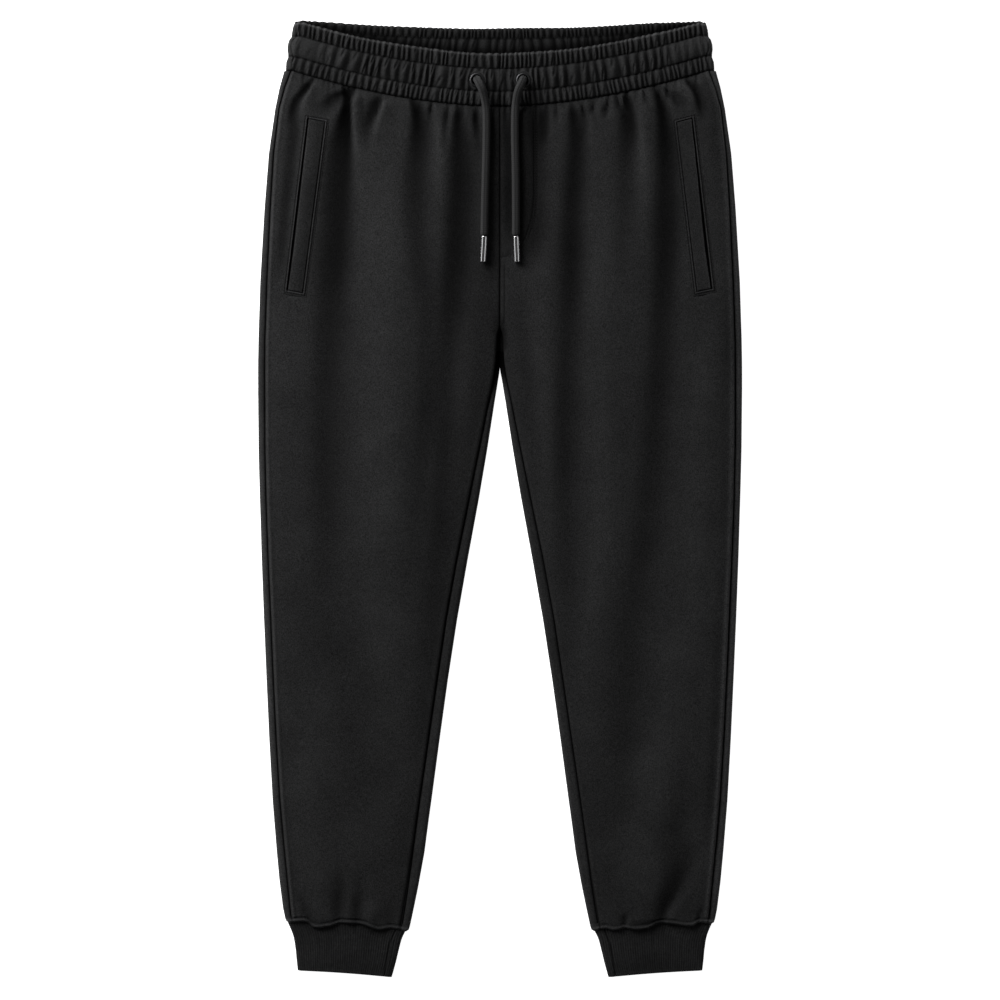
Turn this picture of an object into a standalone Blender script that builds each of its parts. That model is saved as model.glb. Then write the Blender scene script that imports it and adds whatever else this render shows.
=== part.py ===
import math
from collections import namedtuple

import bmesh
import bpy
from mathutils import Matrix, Vector
from mathutils.bvhtree import BVHTree

# Jogger sweatpants lying flat on their back: a fleece body in four panels, an elastic
# waistband in two halves, rib ankle cuffs, slanted pocket welts and a drawcord.
# +X is the wearer's left, +Y runs towards the waist and +Z up. The origin is on the
# surface that they lie on, below the middle of the garment's box.
# Sizes are in millimetres here, and MM turns them into Blender's metres.

MM = 0.001
SIDES = {"left": 1, "right": -1}

# Cloth
CLOTH = 2.2            # thickness of the fleece
GAP = 0.3              # clearance between sewn pieces
FOLD_RADIUS = 4.5      # outer radius where the back panel turns over at a leg's edge
LEAST_HEIGHT = 5.6     # lowest that the front panel's outside may sink

# Waistband: two flat elastic halves, one on the other, each stitched into three channels
BAND_TOP = 6.2         # upper side of the back half at its puffs
BAND_UNDER = 6.5       # underside of the front half
BAND_STITCH = 11.1     # outside of the front half along a stitch line
BAND_PUFF = 12.6       # outside of the front half between two stitch lines
BAND_GATHERS = 48      # puckers across each half
BAND_SIDE_ROUND = 9.0
BAND_GAP = 0.5         # between the waistband and the panels sewn to it
PUCKER = 0.45          # half the height of a pucker

# Waist lines: their height at the side seams, and how far the middle drops below that
WAIST, WAIST_POWER = 462.0, 1.8
FRONT_DROP, BACK_DROP = 37.9, 12.6
BAND_TOP_EDGE, FRONT_TOP_DROP, BACK_TOP_DROP = 515.5, 33.7, 7.4
WAIST_FADE = 280.0     # rows of cloth are level below this height

# Leg hem, over the cuff: its height at the side seam and its slope across the leg
HEM, HEM_SLOPE, HEM_FADE = -456.2, 0.065, -330.0

# Drawcord
EYELET_X, EYELET_Y = 26.0, 453.5
EYELET_OUTER, EYELET_INNER, EYELET_RISE = 7.8, 5.2, 1.5
EYELET_SHEET = 0.4
EYELET_HOLE, EYELET_DEPTH = 5.9, 3.4
EYELET_SEAT = 11.9     # the waistband is pressed flat to this height round an eyelet
CORD_DIAMETER = 7.8
CORD_SIDES = 2         # bevel resolution
CORD_STEP = 8.5        # distance between the points of a cord's tube
TIP_RADIUS, TIP_LENGTH = 3.2, 28.0

# One leg at each height: half widths from the garment's middle line, and the height of its crown
Section = namedtuple("Section", "y outline side_seam inner_seam inner_outline crown")
SECTIONS = [
    Section(464, 231.6, 223.4, 0.0, 0.0, 12.4),
    Section(442, 237.7, 231.5, 0.0, 0.0, 13.0),
    Section(420, 242.3, 237.5, 0.0, 0.0, 13.6),
    Section(372, 249.1, 243.3, 0.0, 0.0, 15.0),
    Section(312, 253.9, 247.0, 0.0, 0.0, 15.6),
    Section(234, 258.4, 250.6, 0.0, 0.0, 15.6),
    Section(190, 259.9, 252.2, 0.0, 0.0, 15.6),
    Section(173, 260.3, 252.7, 5.2, 0.0, 15.6),
    Section(144, 260.8, 253.0, 5.8, 0.0, 15.6),
    Section(107, 260.7, 252.9, 12.2, 6.0, 15.4),
    Section(53, 260.2, 252.7, 22.7, 14.4, 15.0),
    Section(0, 258.8, 251.6, 33.5, 23.4, 14.6),
    Section(-65, 256.8, 249.3, 46.8, 35.4, 14.2),
    Section(-130, 254.4, 246.4, 58.6, 46.8, 13.8),
    Section(-195, 251.6, 243.7, 68.2, 56.8, 13.4),
    Section(-260, 248.6, 240.6, 77.6, 65.8, 13.2),
    Section(-325, 245.0, 236.6, 87.0, 74.5, 13.0),
    Section(-378, 240.8, 231.8, 94.6, 82.0, 12.8),
    Section(-411, 237.7, 228.6, 99.3, 87.6, 12.6),
    Section(-440, 233.8, 225.8, 104.2, 93.6, 12.4),
    Section(-466, 228.0, 222.6, 108.0, 98.6, 12.2),
]

CROTCH_TOP = 180.0     # above this the back panel ends flat at the middle seam

# Heights of both panels' rows at the side seam: the front's gathered ones, then plain ones
GATHER_ROWS = [WAIST, 453, 442, 429]
PLAIN_ROWS = [409, 372, 334, 285, 234, 208, 190, 173, 144, 107, 80, 53, 0, -65, -130, -195, -260, -325, -378,
              -411, -434, -446, -452, HEM]
FRONT_CELLS = 18       # cells across a front panel, three times as many in its gathered rows
GATHER_HEIGHT = 1.1

# Large soft folds of the front, each a curve through three places: height above the crown
# (below it for a trough) and half width
Fold = namedtuple("Fold", "start middle end height width")
FOLDS = [
    Fold((-165, 444), (-187, 300), (-196, -110), -5.4, 16),
    Fold((-84, 430), (-91, 385), (-101, 320), -2.6, 11),
    Fold((-53, 420), (-63, 200), (-80, -280), -4.0, 15),
    Fold((-141, 340), (-141, 60), (-128, -290), 2.2, 22),
    Fold((-77, 400), (-78, 310), (-92, 200), 1.4, 12),
    Fold((-34, 240), (-32, 120), (-48, -10), 1.2, 14),
    Fold((73, 430), (72, 180), (58, -90), -3.6, 15),
    Fold((171, 444), (168, 200), (124, -290), -4.6, 16),
    Fold((128, 430), (127, 400), (122, 340), -2.2, 11),
    Fold((103, 400), (105, 150), (84, -180), 2.2, 20),
    Fold((214, 190), (206, 20), (164, -300), 1.6, 20),
    Fold((38, 240), (38, 120), (50, 10), 1.2, 14),
    Fold((-175, -400), (-176, -425), (-177, -452), -1.8, 9),
    Fold((150, -380), (155, -418), (158, -452), -1.8, 9),
]

# Slanted pocket: the outer and inner edges of its welt, top and bottom
WELT_OUTER = ((209.1, 411.3), (231.2, 225.5))
WELT_INNER = ((188.4, 408.3), (212.5, 222.4))
WELT_THICK, WELT_LIFT = 1.8, 0.7

# Cuff: its outer and inner edge at rows from the hem to the open end
CuffRow = namedtuple("CuffRow", "outer_x outer_y inner_x inner_y height")
CUFF_ROWS = [
    CuffRow(226.4, -456.5, 100.2, -464.7, 8.6),
    CuffRow(221.6, -468.5, 104.2, -471.5, 8.2),
    CuffRow(219.0, -484.0, 109.0, -484.0, 8.0),
    CuffRow(217.8, -497.0, 113.2, -499.0, 8.0),
    CuffRow(216.6, -507.0, 117.0, -515.4, 7.8),
]
CUFF_RIBS = 27
CUFF_RIB_HEIGHT = 0.35

# Routes of the two cords from the eyelets to their tips, left at the wearer's left
CORD_ROUTES = {
    "right": [(-25.8, 454.0, 10.4), (-25.7, 453.9, 14.5), (-24.7, 451.9, 19.9), (-22.5, 447.4, 23.4),
              (-19.6, 441.8, 23.8), (-17.3, 433.6, 20.8), (-15.7, 423.5, 18.0), (-15.1, 410.0, 17.7),
              (-15.1, 392.0, 18.2), (-15.7, 359.0, 18.7), (-16.5, 325.6, 19.0), (-17.0, 287.0, 19.1)],
    "left": [(26.0, 454.1, 10.4), (25.9, 454.0, 14.5), (25.0, 452.0, 19.9), (22.9, 447.3, 23.4),
             (20.2, 441.2, 23.8), (17.8, 433.2, 20.8), (16.3, 423.5, 18.0), (15.5, 410.0, 17.7),
             (15.4, 392.0, 18.2), (16.1, 359.0, 18.7), (16.8, 325.6, 19.0), (17.6, 287.0, 19.1)],
}
TIP_DRIFT = 1.1        # sideways slant of a tip over its length
TIP_SINK = 0.5         # how far its end dips towards the cloth

FINISHES = {
    "fleece": ((0.018, 0.018, 0.019), 0.95, 0.0),
    "rib": ((0.012, 0.012, 0.013), 0.95, 0.0),
    "cord": ((0.030, 0.030, 0.031), 0.9, 0.0),
    "gunmetal": ((0.25, 0.25, 0.26), 0.35, 1.0),
    "chrome": ((0.75, 0.75, 0.76), 0.15, 1.0),
}


def remove_all_objects():
    for obj in list(bpy.data.objects):
        bpy.data.objects.remove(obj, do_unlink=True)


def finish_for(kind, name):
    colour, roughness, metallic = FINISHES[kind]
    material = bpy.data.materials.new(name)
    material.use_nodes = True
    principled = material.node_tree.nodes["Principled BSDF"]
    principled.inputs["Base Color"].default_value = (*colour, 1.0)
    principled.inputs["Roughness"].default_value = roughness
    principled.inputs["Metallic"].default_value = metallic
    return material


def add_object(name, bm, kind, sharp_degrees=40):
    bmesh.ops.recalc_face_normals(bm, faces=bm.faces[:])
    bmesh.ops.scale(bm, vec=(MM, MM, MM), verts=bm.verts[:])
    mesh = bpy.data.meshes.new(name)
    bm.to_mesh(mesh)
    bm.free()
    mesh.shade_smooth()
    mesh.set_sharp_from_angle(angle=math.radians(sharp_degrees))
    mesh.materials.append(finish_for(kind, name))
    obj = bpy.data.objects.new(name, mesh)
    bpy.context.scene.collection.objects.link(obj)
    return obj


def smooth_step(value, start, end):
    t = min(max((value - start) / (end - start), 0.0), 1.0)
    return t * t * (3.0 - 2.0 * t)


def mix(a, b, t):
    return a + (b - a) * t


def section_at(y):
    # The leg's section at any height, between the two nearest rows of the table.
    y = min(max(y, SECTIONS[-1].y), SECTIONS[0].y)
    for above, below in zip(SECTIONS, SECTIONS[1:]):
        if y >= below.y:
            t = (above.y - y) / (above.y - below.y)
            return Section(*(mix(a, b, t) for a, b in zip(above, below)))
    return SECTIONS[-1]


def waist_line(x, drop):
    # How far a waist line lies below its ends at the side seams.
    return drop * (1.0 - min(abs(x) / section_at(WAIST).side_seam, 1.0) ** WAIST_POWER)


def row_height(base, x, drop):
    # Rows follow the waist line at the top, run level at the thigh, and follow the hem below.
    waist_share = smooth_step(base, WAIST_FADE, WAIST)
    hem_share = 1.0 - smooth_step(base, HEM, HEM_FADE)
    tilt = HEM_SLOPE * (abs(x) - section_at(HEM).side_seam)
    return base - waist_line(x, drop) * waist_share + tilt * hem_share


def fold_height(x, y):
    # Each fold is a cross-wise bell whose middle line is a parabola through its three places.
    total = 0.0
    for fold in FOLDS:
        (x0, y0), (x1, y1), (x2, y2) = fold.start, fold.middle, fold.end
        along = (y0 - y) / (y0 - y2)
        if not -0.2 < along < 1.2:
            continue
        knee = (y0 - y1) / (y0 - y2)
        line = (x0 * (along - knee) * (along - 1.0) / knee
                + x1 * along * (along - 1.0) / (knee * (knee - 1.0))
                + x2 * along * (along - knee) / (1.0 - knee))
        fade = smooth_step(along, -0.1, 0.12) * (1.0 - smooth_step(along, 0.6, 1.1))
        total += fold.height * fade * math.exp(-((x - line) / fold.width) ** 2)
    return total


def front_height(x, y, waist_distance, hem_distance):
    # Height of the front panel's outside over the surface.
    section = section_at(y)
    seam_rim = 10.4
    to_side = max(section.side_seam - abs(x), 0.0)
    to_inner = max(abs(x) - section.inner_seam, 0.0)
    z = section.crown + fold_height(x, y) * smooth_step(min(to_side, to_inner + 20.0), 0.0, 20.0)
    z = mix(seam_rim, z, 1.0 - math.exp(-to_side / 12.0))
    inner_rim = mix(seam_rim, 12.2, smooth_step(y, 175.0, 230.0))
    z = mix(inner_rim, z, 1.0 - math.exp(-to_inner / 12.0))
    z = mix(10.9, z, smooth_step(waist_distance, -6.0, 26.0))
    z -= 3.0 * math.exp(-hem_distance / 5.0)
    return max(z, LEAST_HEIGHT)


def wall_mesh(outer_rows, inner_rows):
    # A closed wall from rows of outside and inside points. A row may hold three times as many
    # cells as the next, and then each wide cell takes three narrow edges.
    bm = bmesh.new()
    sheets = []
    for rows in (outer_rows, inner_rows):
        verts = [[bm.verts.new(point) for point in row] for row in rows]
        for upper, lower in zip(verts, verts[1:]):
            ratio = (len(upper) - 1) // (len(lower) - 1)
            for cell in range(len(lower) - 1):
                top = upper[cell * ratio:(cell + 1) * ratio + 1]
                bm.faces.new(top + [lower[cell + 1], lower[cell]])
        sheets.append(verts)
    outer, inner = sheets
    for row in (0, -1):
        for cell in range(len(outer[row]) - 1):
            bm.faces.new((outer[row][cell], outer[row][cell + 1], inner[row][cell + 1], inner[row][cell]))
    for column in (0, -1):
        for row in range(len(outer) - 1):
            bm.faces.new((outer[row][column], outer[row + 1][column],
                          inner[row + 1][column], inner[row][column]))
    return bm


def make_front(side_name):
    # The front panel lies on the folds of the back panel: waist seam to hem, middle or inner
    # seam to side seam. Its top rows are gathered into the waistband.
    side = SIDES[side_name]
    outer, inner = [], []
    for base in GATHER_ROWS + PLAIN_ROWS:
        gathered = base in GATHER_ROWS
        cells = FRONT_CELLS * 3 if gathered else FRONT_CELLS
        level = section_at(base)
        outer_row, inner_row = [], []
        for column in range(cells + 1):
            x = side * mix(level.inner_seam + GAP / 2, level.side_seam - GAP / 2, column / cells)
            y = row_height(base, x, FRONT_DROP)
            z = front_height(x, y, WAIST - base, base - HEM)
            if gathered and 0 < column < cells:
                strength = 1.0 - smooth_step(WAIST - base, 8.0, 36.0)
                z += GATHER_HEIGHT * strength * (1 if column % 2 else -1)
            outer_row.append((x, y, z))
            inner_row.append((x, y, z - CLOTH))
        outer.append(outer_row)
        inner.append(inner_row)
    return add_object(f"front_leg_{side_name}", wall_mesh(outer, inner), "fleece")


def turned_edge(edge_x, inwards, radius, start_degrees, end_degrees, steps):
    # Points round a folded edge whose outermost place is edge_x; inwards is +1 or -1 along x.
    centre_x = edge_x + inwards * FOLD_RADIUS
    points = []
    for step in range(steps + 1):
        angle = math.radians(mix(start_degrees, end_degrees, step / steps))
        points.append((centre_x - inwards * radius * math.cos(angle), FOLD_RADIUS + radius * math.sin(angle)))
    return points


def back_profile(section, offset):
    # Outside of the back panel across one leg, as (x, z), moved into the wall by offset: from the
    # side seam over the leg's outer fold, under the leg, and up to the inner seam, or at the hip
    # along the floor to the middle seam.
    radius = FOLD_RADIUS - offset
    top = 2 * FOLD_RADIUS - offset
    profile = [(section.side_seam + GAP / 2, top)]
    profile += turned_edge(section.outline, -1, radius, 90, -90, 4)
    fold = turned_edge(section.inner_outline + GAP / 2, 1, radius, -90, 90, 4)
    profile += [(mix(profile[5][0], fold[0][0], t / 3), offset) for t in (1, 2)]
    if section.y < CROTCH_TOP:
        profile += fold
        profile.append((max(section.inner_seam - GAP / 2, fold[-1][0] + 0.2), top))
    elif offset == 0.0:
        profile += [fold[0], (1.5, 0.0)] + [(GAP / 2, CLOTH * rise) for rise in (0.0, 0.3, 0.6, 0.9)]
    else:
        profile += [fold[0]] + [(x, CLOTH) for x in (3.6, 2.8, 2.2, 1.6, 1.0)]
    return profile


def make_back(side_name):
    side = SIDES[side_name]
    outer, inner = [], []
    for base in GATHER_ROWS + PLAIN_ROWS:
        level = section_at(base)
        for rows, offset in ((outer, 0.0), (inner, CLOTH)):
            rows.append([(side * x, row_height(base, x, BACK_DROP), z)
                         for x, z in back_profile(level, offset)])
    return add_object(f"back_leg_{side_name}", wall_mesh(outer, inner), "fleece")


def band_half_width(t):
    # Half width of the waistband, from its seam (0) to its top edge (1), pinched at stitch lines.
    plain = mix(231.6, 223.0, t)
    return plain + 1.6 * math.sin(3.0 * math.pi * t) ** 2 - 1.2 * smooth_step(t, 0.9, 1.0)


def band_outside(t, stitch, puff):
    # Height of the outside: three puffed channels, and a rounded top edge.
    channel = abs(math.sin(3.0 * math.pi * t)) ** 0.8
    return mix(stitch, puff, channel) - 1.6 * smooth_step(t, 0.93, 1.0)


def make_band(name, low_drop, top_drop, floor, stitch, puff):
    # One half of the waistband: a puckered outside over a plain flat underside.
    cells = BAND_GATHERS * 2
    levels = [0.0, 0.06, 1 / 6, 1 / 3, 1 / 2, 2 / 3, 5 / 6, 0.95, 1.0]
    bm = bmesh.new()
    rows = []
    for t in levels:
        row = []
        for column in range(cells + 1):
            across = 2.0 * column / cells - 1.0
            x = band_half_width(t) * across
            y = mix(WAIST + BAND_GAP - waist_line(x, low_drop), BAND_TOP_EDGE - waist_line(x, top_drop), t)
            z = band_outside(t, stitch, puff)
            pucker = PUCKER * (1 if column % 2 else -1) * (1.0 - smooth_step(abs(across), 0.94, 1.0))
            to_eyelet = math.hypot(abs(x) - EYELET_X, y - EYELET_Y)
            flat = smooth_step(to_eyelet, 9.0, 15.0) if floor > 0 else 1.0
            z = mix(EYELET_SEAT, z + pucker, flat)
            side = max(abs(x) - (band_half_width(t) - BAND_SIDE_ROUND), 0.0) / BAND_SIDE_ROUND
            if floor > 0:
                z = mix(floor + 1.0, z, math.sqrt(max(1.0 - side * side, 0.0)))
            row.append(bm.verts.new((x, y, z)))
        rows.append(row)
    for lower, upper in zip(rows, rows[1:]):
        for cell in range(cells):
            bm.faces.new((lower[cell], lower[cell + 1], upper[cell + 1], upper[cell]))
    rim = rows[0][:-1] + [row[-1] for row in rows[:-1]] + rows[-1][:0:-1] + [row[0] for row in rows[:0:-1]]
    under = [bm.verts.new((vert.co.x, vert.co.y, floor)) for vert in rim]
    for index in range(len(rim)):
        after = (index + 1) % len(rim)
        bm.faces.new((rim[index], rim[after], under[after], under[index]))
    bm.faces.new(under)
    return add_object(name, bm, "fleece")


def cut_eyelet_holes(band):
    # Two blind round holes in the front half, which the eyelets' barrels line.
    for side_name, side in SIDES.items():
        bm = bmesh.new()
        bmesh.ops.create_cone(bm, cap_ends=True, segments=24, radius1=EYELET_HOLE, radius2=EYELET_HOLE,
                              depth=10.0)
        bottom = EYELET_SEAT - EYELET_DEPTH
        bmesh.ops.translate(bm, vec=(side * EYELET_X, EYELET_Y, bottom + 5.0), verts=bm.verts[:])
        cutter = add_object(f"eyelet_cutter_{side_name}", bm, "fleece")
        cutter.hide_render = True
        cutter.display_type = "WIRE"
        cut = band.modifiers.new(f"hole_{side_name}", "BOOLEAN")
        cut.operation = "DIFFERENCE"
        cut.object = cutter


def make_cuff(side_name):
    # A flattened rib tube: ribs raised on its upper side, a plain inside and a flat underside.
    side = SIDES[side_name]
    bm = bmesh.new()
    loops = []
    for offset in (0.0, CLOTH):
        for row in CUFF_ROWS:
            start, end = Vector((row.outer_x, row.outer_y)), Vector((row.inner_x, row.inner_y))
            across = (end - start).normalized()
            length = (end - start).length
            radius = row.height / 2
            cells = CUFF_RIBS * 2
            points = []
            for column in range(cells + 1):
                rib = CUFF_RIB_HEIGHT * (1 if column % 2 else -1) * (0 < column < cells) * (offset == 0.0)
                points.append((mix(radius, length - radius, column / cells), row.height - offset + rib))
            for angle in (45, 0, -45):
                reach = (radius - offset) * math.cos(math.radians(angle))
                points.append((length - radius + reach,
                               radius + (radius - offset) * math.sin(math.radians(angle))))
            points += [(mix(length - radius, radius, t / 4), offset) for t in range(5)]
            for angle in (-45, 0, 45):
                reach = (radius - offset) * math.cos(math.radians(angle))
                points.append((radius - reach, radius + (radius - offset) * math.sin(math.radians(angle))))
            loop = []
            for distance, z in points:
                place = start + across * distance
                loop.append(bm.verts.new((side * place.x, place.y, z)))
            loops.append(loop)
    outer, inner = loops[:len(CUFF_ROWS)], loops[len(CUFF_ROWS):]
    pairs = list(zip(outer, outer[1:])) + list(zip(inner, inner[1:]))
    pairs += [(outer[0], inner[0]), (outer[-1], inner[-1])]
    for first, second in pairs:
        for index in range(len(first)):
            after = (index + 1) % len(first)
            bm.faces.new((first[index], first[after], second[after], second[index]))
    return add_object(f"cuff_{side_name}", bm, "rib")


def make_welt(side_name, front):
    # The welt lies on the front panel: its points are the panel's own, moved out.
    side = SIDES[side_name]
    tree = BVHTree.FromObject(front, bpy.context.evaluated_depsgraph_get())
    along, across = 12, 3
    outer, inner = [], []
    for i in range(along + 1):
        outer_row, inner_row = [], []
        for j in range(across + 1):
            s, w = i / along, j / across
            x = mix(mix(WELT_OUTER[0][0], WELT_OUTER[1][0], s), mix(WELT_INNER[0][0], WELT_INNER[1][0], s), w)
            y = mix(mix(WELT_OUTER[0][1], WELT_OUTER[1][1], s), mix(WELT_INNER[0][1], WELT_INNER[1][1], s), w)
            hit = tree.ray_cast(Vector((side * x, y, 100.0)) * MM, Vector((0, 0, -1)))[0]
            under = hit.z / MM + WELT_LIFT
            crown = 0.5 * math.sin(math.pi * w)
            outer_row.append((side * x, y, under + WELT_THICK + crown))
            inner_row.append((side * x, y, under))
        outer.append(outer_row)
        inner.append(inner_row)
    return add_object(f"pocket_welt_{side_name}", wall_mesh(outer, inner), "fleece")


def make_eyelet(side_name):
    # A turned ring: a rolled flange on the waistband and a short barrel in its hole.
    side = SIDES[side_name]
    base = EYELET_SEAT + GAP
    barrel_end = EYELET_SEAT - EYELET_DEPTH + 0.6
    roll = EYELET_OUTER - EYELET_INNER
    profile = [(EYELET_INNER, barrel_end), (EYELET_INNER, base + 0.5 * EYELET_RISE)]
    for degrees in (145, 110, 70, 35):
        angle = math.radians(degrees)
        profile.append((EYELET_INNER + roll / 2 + roll / 2 * math.cos(angle),
                        base + EYELET_RISE * (0.4 + 0.6 * math.sin(angle))))
    profile += [(EYELET_OUTER, base + 0.3 * EYELET_RISE), (EYELET_OUTER, base),
                (EYELET_INNER + EYELET_SHEET, base), (EYELET_INNER + EYELET_SHEET, barrel_end)]
    bm = bmesh.new()
    verts = [bm.verts.new((r, 0.0, z)) for r, z in profile]
    edges = [bm.edges.new((verts[i], verts[(i + 1) % len(verts)])) for i in range(len(verts))]
    bmesh.ops.spin(bm, geom=edges, axis=(0, 0, 1), cent=(0, 0, 0), angle=2 * math.pi, steps=20,
                   use_merge=True)
    bmesh.ops.remove_doubles(bm, verts=bm.verts[:], dist=0.001)
    bmesh.ops.translate(bm, vec=(side * EYELET_X, EYELET_Y, 0.0), verts=bm.verts[:])
    return add_object(f"eyelet_{side_name}", bm, "gunmetal")


def smooth_route(points, step):
    # Points a step apart along a Catmull-Rom curve through the route's points.
    ends = [points[0] * 2 - points[1]] + points + [points[-1] * 2 - points[-2]]
    fine = []
    for a, b, c, d in zip(ends, ends[1:], ends[2:], ends[3:]):
        for index in range(24):
            t = index / 24
            fine.append(0.5 * (2 * b + (c - a) * t + (2 * a - 5 * b + 4 * c - d) * t ** 2
                               + (3 * b - a - 3 * c + d) * t ** 3))
    fine.append(points[-1])
    lengths = [0.0]
    for first, second in zip(fine, fine[1:]):
        lengths.append(lengths[-1] + (second - first).length)
    count = max(round(lengths[-1] / step), 2)
    route, place = [], 0
    for index in range(count + 1):
        wanted = lengths[-1] * index / count
        while place < len(fine) - 2 and lengths[place + 1] < wanted:
            place += 1
        share = (wanted - lengths[place]) / max(lengths[place + 1] - lengths[place], 1e-9)
        route.append(fine[place].lerp(fine[place + 1], min(share, 1.0)))
    return route


def make_cord(side_name):
    route = smooth_route([Vector(point) for point in CORD_ROUTES[side_name]], CORD_STEP)
    name = f"drawcord_{side_name}"
    curve = bpy.data.curves.new(name, "CURVE")
    curve.dimensions = "3D"
    curve.bevel_depth = CORD_DIAMETER / 2 * MM
    curve.bevel_resolution = CORD_SIDES
    curve.use_fill_caps = True
    curve.resolution_u = 1
    curve.render_resolution_u = 0
    spline = curve.splines.new("POLY")
    spline.points.add(len(route) - 1)
    for point, place in zip(spline.points, route):
        point.co = (*(place * MM), 1.0)
    curve.materials.append(finish_for("cord", name))
    obj = bpy.data.objects.new(name, curve)
    bpy.context.scene.collection.objects.link(obj)
    return obj


def make_tip(side_name):
    # A plain metal tube with eased ends, in line with its cord.
    side = SIDES[side_name]
    end = Vector(CORD_ROUTES[side_name][-1])
    heading = Vector((side * TIP_DRIFT, -TIP_LENGTH, -TIP_SINK)).normalized()
    bm = bmesh.new()
    bmesh.ops.create_cone(bm, cap_ends=True, segments=16, radius1=TIP_RADIUS, radius2=TIP_RADIUS,
                          depth=TIP_LENGTH)
    ends = [edge for edge in bm.edges if abs(edge.verts[0].co.z - edge.verts[1].co.z) < 0.01]
    bmesh.ops.bevel(bm, geom=ends, offset=0.6, segments=2, affect="EDGES", profile=0.5)
    turn = heading.to_track_quat("Z", "Y").to_matrix().to_4x4()
    centre = end + heading * (TIP_LENGTH / 2 + GAP)
    bmesh.ops.transform(bm, matrix=Matrix.Translation(centre) @ turn, verts=bm.verts[:])
    return add_object(f"cord_tip_{side_name}", bm, "chrome")


def main():
    remove_all_objects()
    for side_name in SIDES:
        make_back(side_name)
        front = make_front(side_name)
        make_welt(side_name, front)
        make_cuff(side_name)
        make_eyelet(side_name)
        make_cord(side_name)
        make_tip(side_name)
    make_band("waistband_back", BACK_DROP - 1.2, BACK_TOP_DROP, 0.0, BAND_TOP - 1.7, BAND_TOP - PUCKER)
    band = make_band("waistband_front", FRONT_DROP, FRONT_TOP_DROP, BAND_UNDER, BAND_STITCH, BAND_PUFF)
    cut_eyelet_holes(band)


main()
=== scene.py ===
import math
import random

import bmesh
import bpy
import numpy as np
from mathutils import Matrix, Vector


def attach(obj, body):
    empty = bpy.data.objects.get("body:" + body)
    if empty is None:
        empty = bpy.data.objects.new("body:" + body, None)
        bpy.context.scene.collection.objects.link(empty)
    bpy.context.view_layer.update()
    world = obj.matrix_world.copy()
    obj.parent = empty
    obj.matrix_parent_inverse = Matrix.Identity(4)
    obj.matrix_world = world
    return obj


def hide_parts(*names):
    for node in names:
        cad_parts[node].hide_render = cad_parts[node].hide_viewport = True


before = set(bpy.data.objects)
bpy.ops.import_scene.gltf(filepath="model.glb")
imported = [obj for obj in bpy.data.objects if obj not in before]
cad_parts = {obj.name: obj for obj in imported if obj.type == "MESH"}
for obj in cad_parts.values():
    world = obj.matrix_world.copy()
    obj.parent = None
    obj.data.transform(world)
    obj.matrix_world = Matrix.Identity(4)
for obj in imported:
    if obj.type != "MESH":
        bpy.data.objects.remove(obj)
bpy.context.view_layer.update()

# Jogger sweatpants lying flat on their back. +X is the wearer's left, +Y the waist, +Z up.
# Shapes are worked out in millimetres and turned into metres as each mesh is finished.
# Patterns are drawn on a sheet of 1000 units a side: across from its left, down from its top.

mm = 0.001
sides = {"left": 1, "right": -1}
# the sheet's unit and middle: for the creases and lines, for the pockets' corners and for the hems
sheets = {
    "cloth": {"unit": 1.0746, "across": 499.57, "down": 498.23, "drop": 0.0},
    "pocket": {"unit": 1.0746, "across": 499.5, "down": 499.5, "drop": 1.4},
    "hem": {"unit": 1.0759, "across": 499.5, "down": 499.5, "drop": 1.4},
}


def onSheet(across, down, use="cloth"):
    sheet = sheets[use]
    return (across - sheet["across"]) * sheet["unit"], (sheet["down"] - down) * sheet["unit"] - sheet["drop"]


def smoothStep(value, start, end):
    t = np.clip((np.asarray(value, float) - start) / (end - start), 0.0, 1.0)
    return t * t * (3.0 - 2.0 * t)


def mix(a, b, t):
    return a + (b - a) * t


def bell(distance, width):
    return np.exp(-(distance / width) ** 2)


# camera and light

studio = {
    "lens": 135.0, "sensor": 36.0, "farClip": 60.0, "height": 4.0446, "aimX": -0.00007, "aimY": -0.00137,
    "skyStrength": 0.06, "floorSize": 6.0, "floorDrop": 0.0003, "floorTone": 0.86, "floorRoughness": 0.9,
    "floorGlow": 1.0,
    # each lamp's place, aim, size and power
    "lamps": {
        "keyLight": ((-1.3, 1.4, 1.05), (0, 0.1, 0), (1.7, 1.2), 68.0),
        "leftStrip": ((-1.8, 0.2, 1.3), (0, 0.2, 0), (2.2, 0.6), 4.5),
        "rightStrip": ((1.8, 0.2, 1.3), (0, 0.2, 0), (2.2, 0.6), 3.5),
        "topLight": ((0.2, 2.4, 2.0), (0, 0.2, 0), (2.4, 1.0), 1.5),
    },
}


def addAreaLight(name, place, aim, size, power):
    data = bpy.data.lights.new(name, "AREA")
    data.shape = "RECTANGLE"
    data.size, data.size_y = size
    data.energy = power
    light = bpy.data.objects.new(name, data)
    light.location = place
    light.rotation_euler = (Vector(aim) - Vector(place)).to_track_quat("-Z", "Y").to_euler()
    light.visible_camera = False
    bpy.context.scene.collection.objects.link(light)


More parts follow.
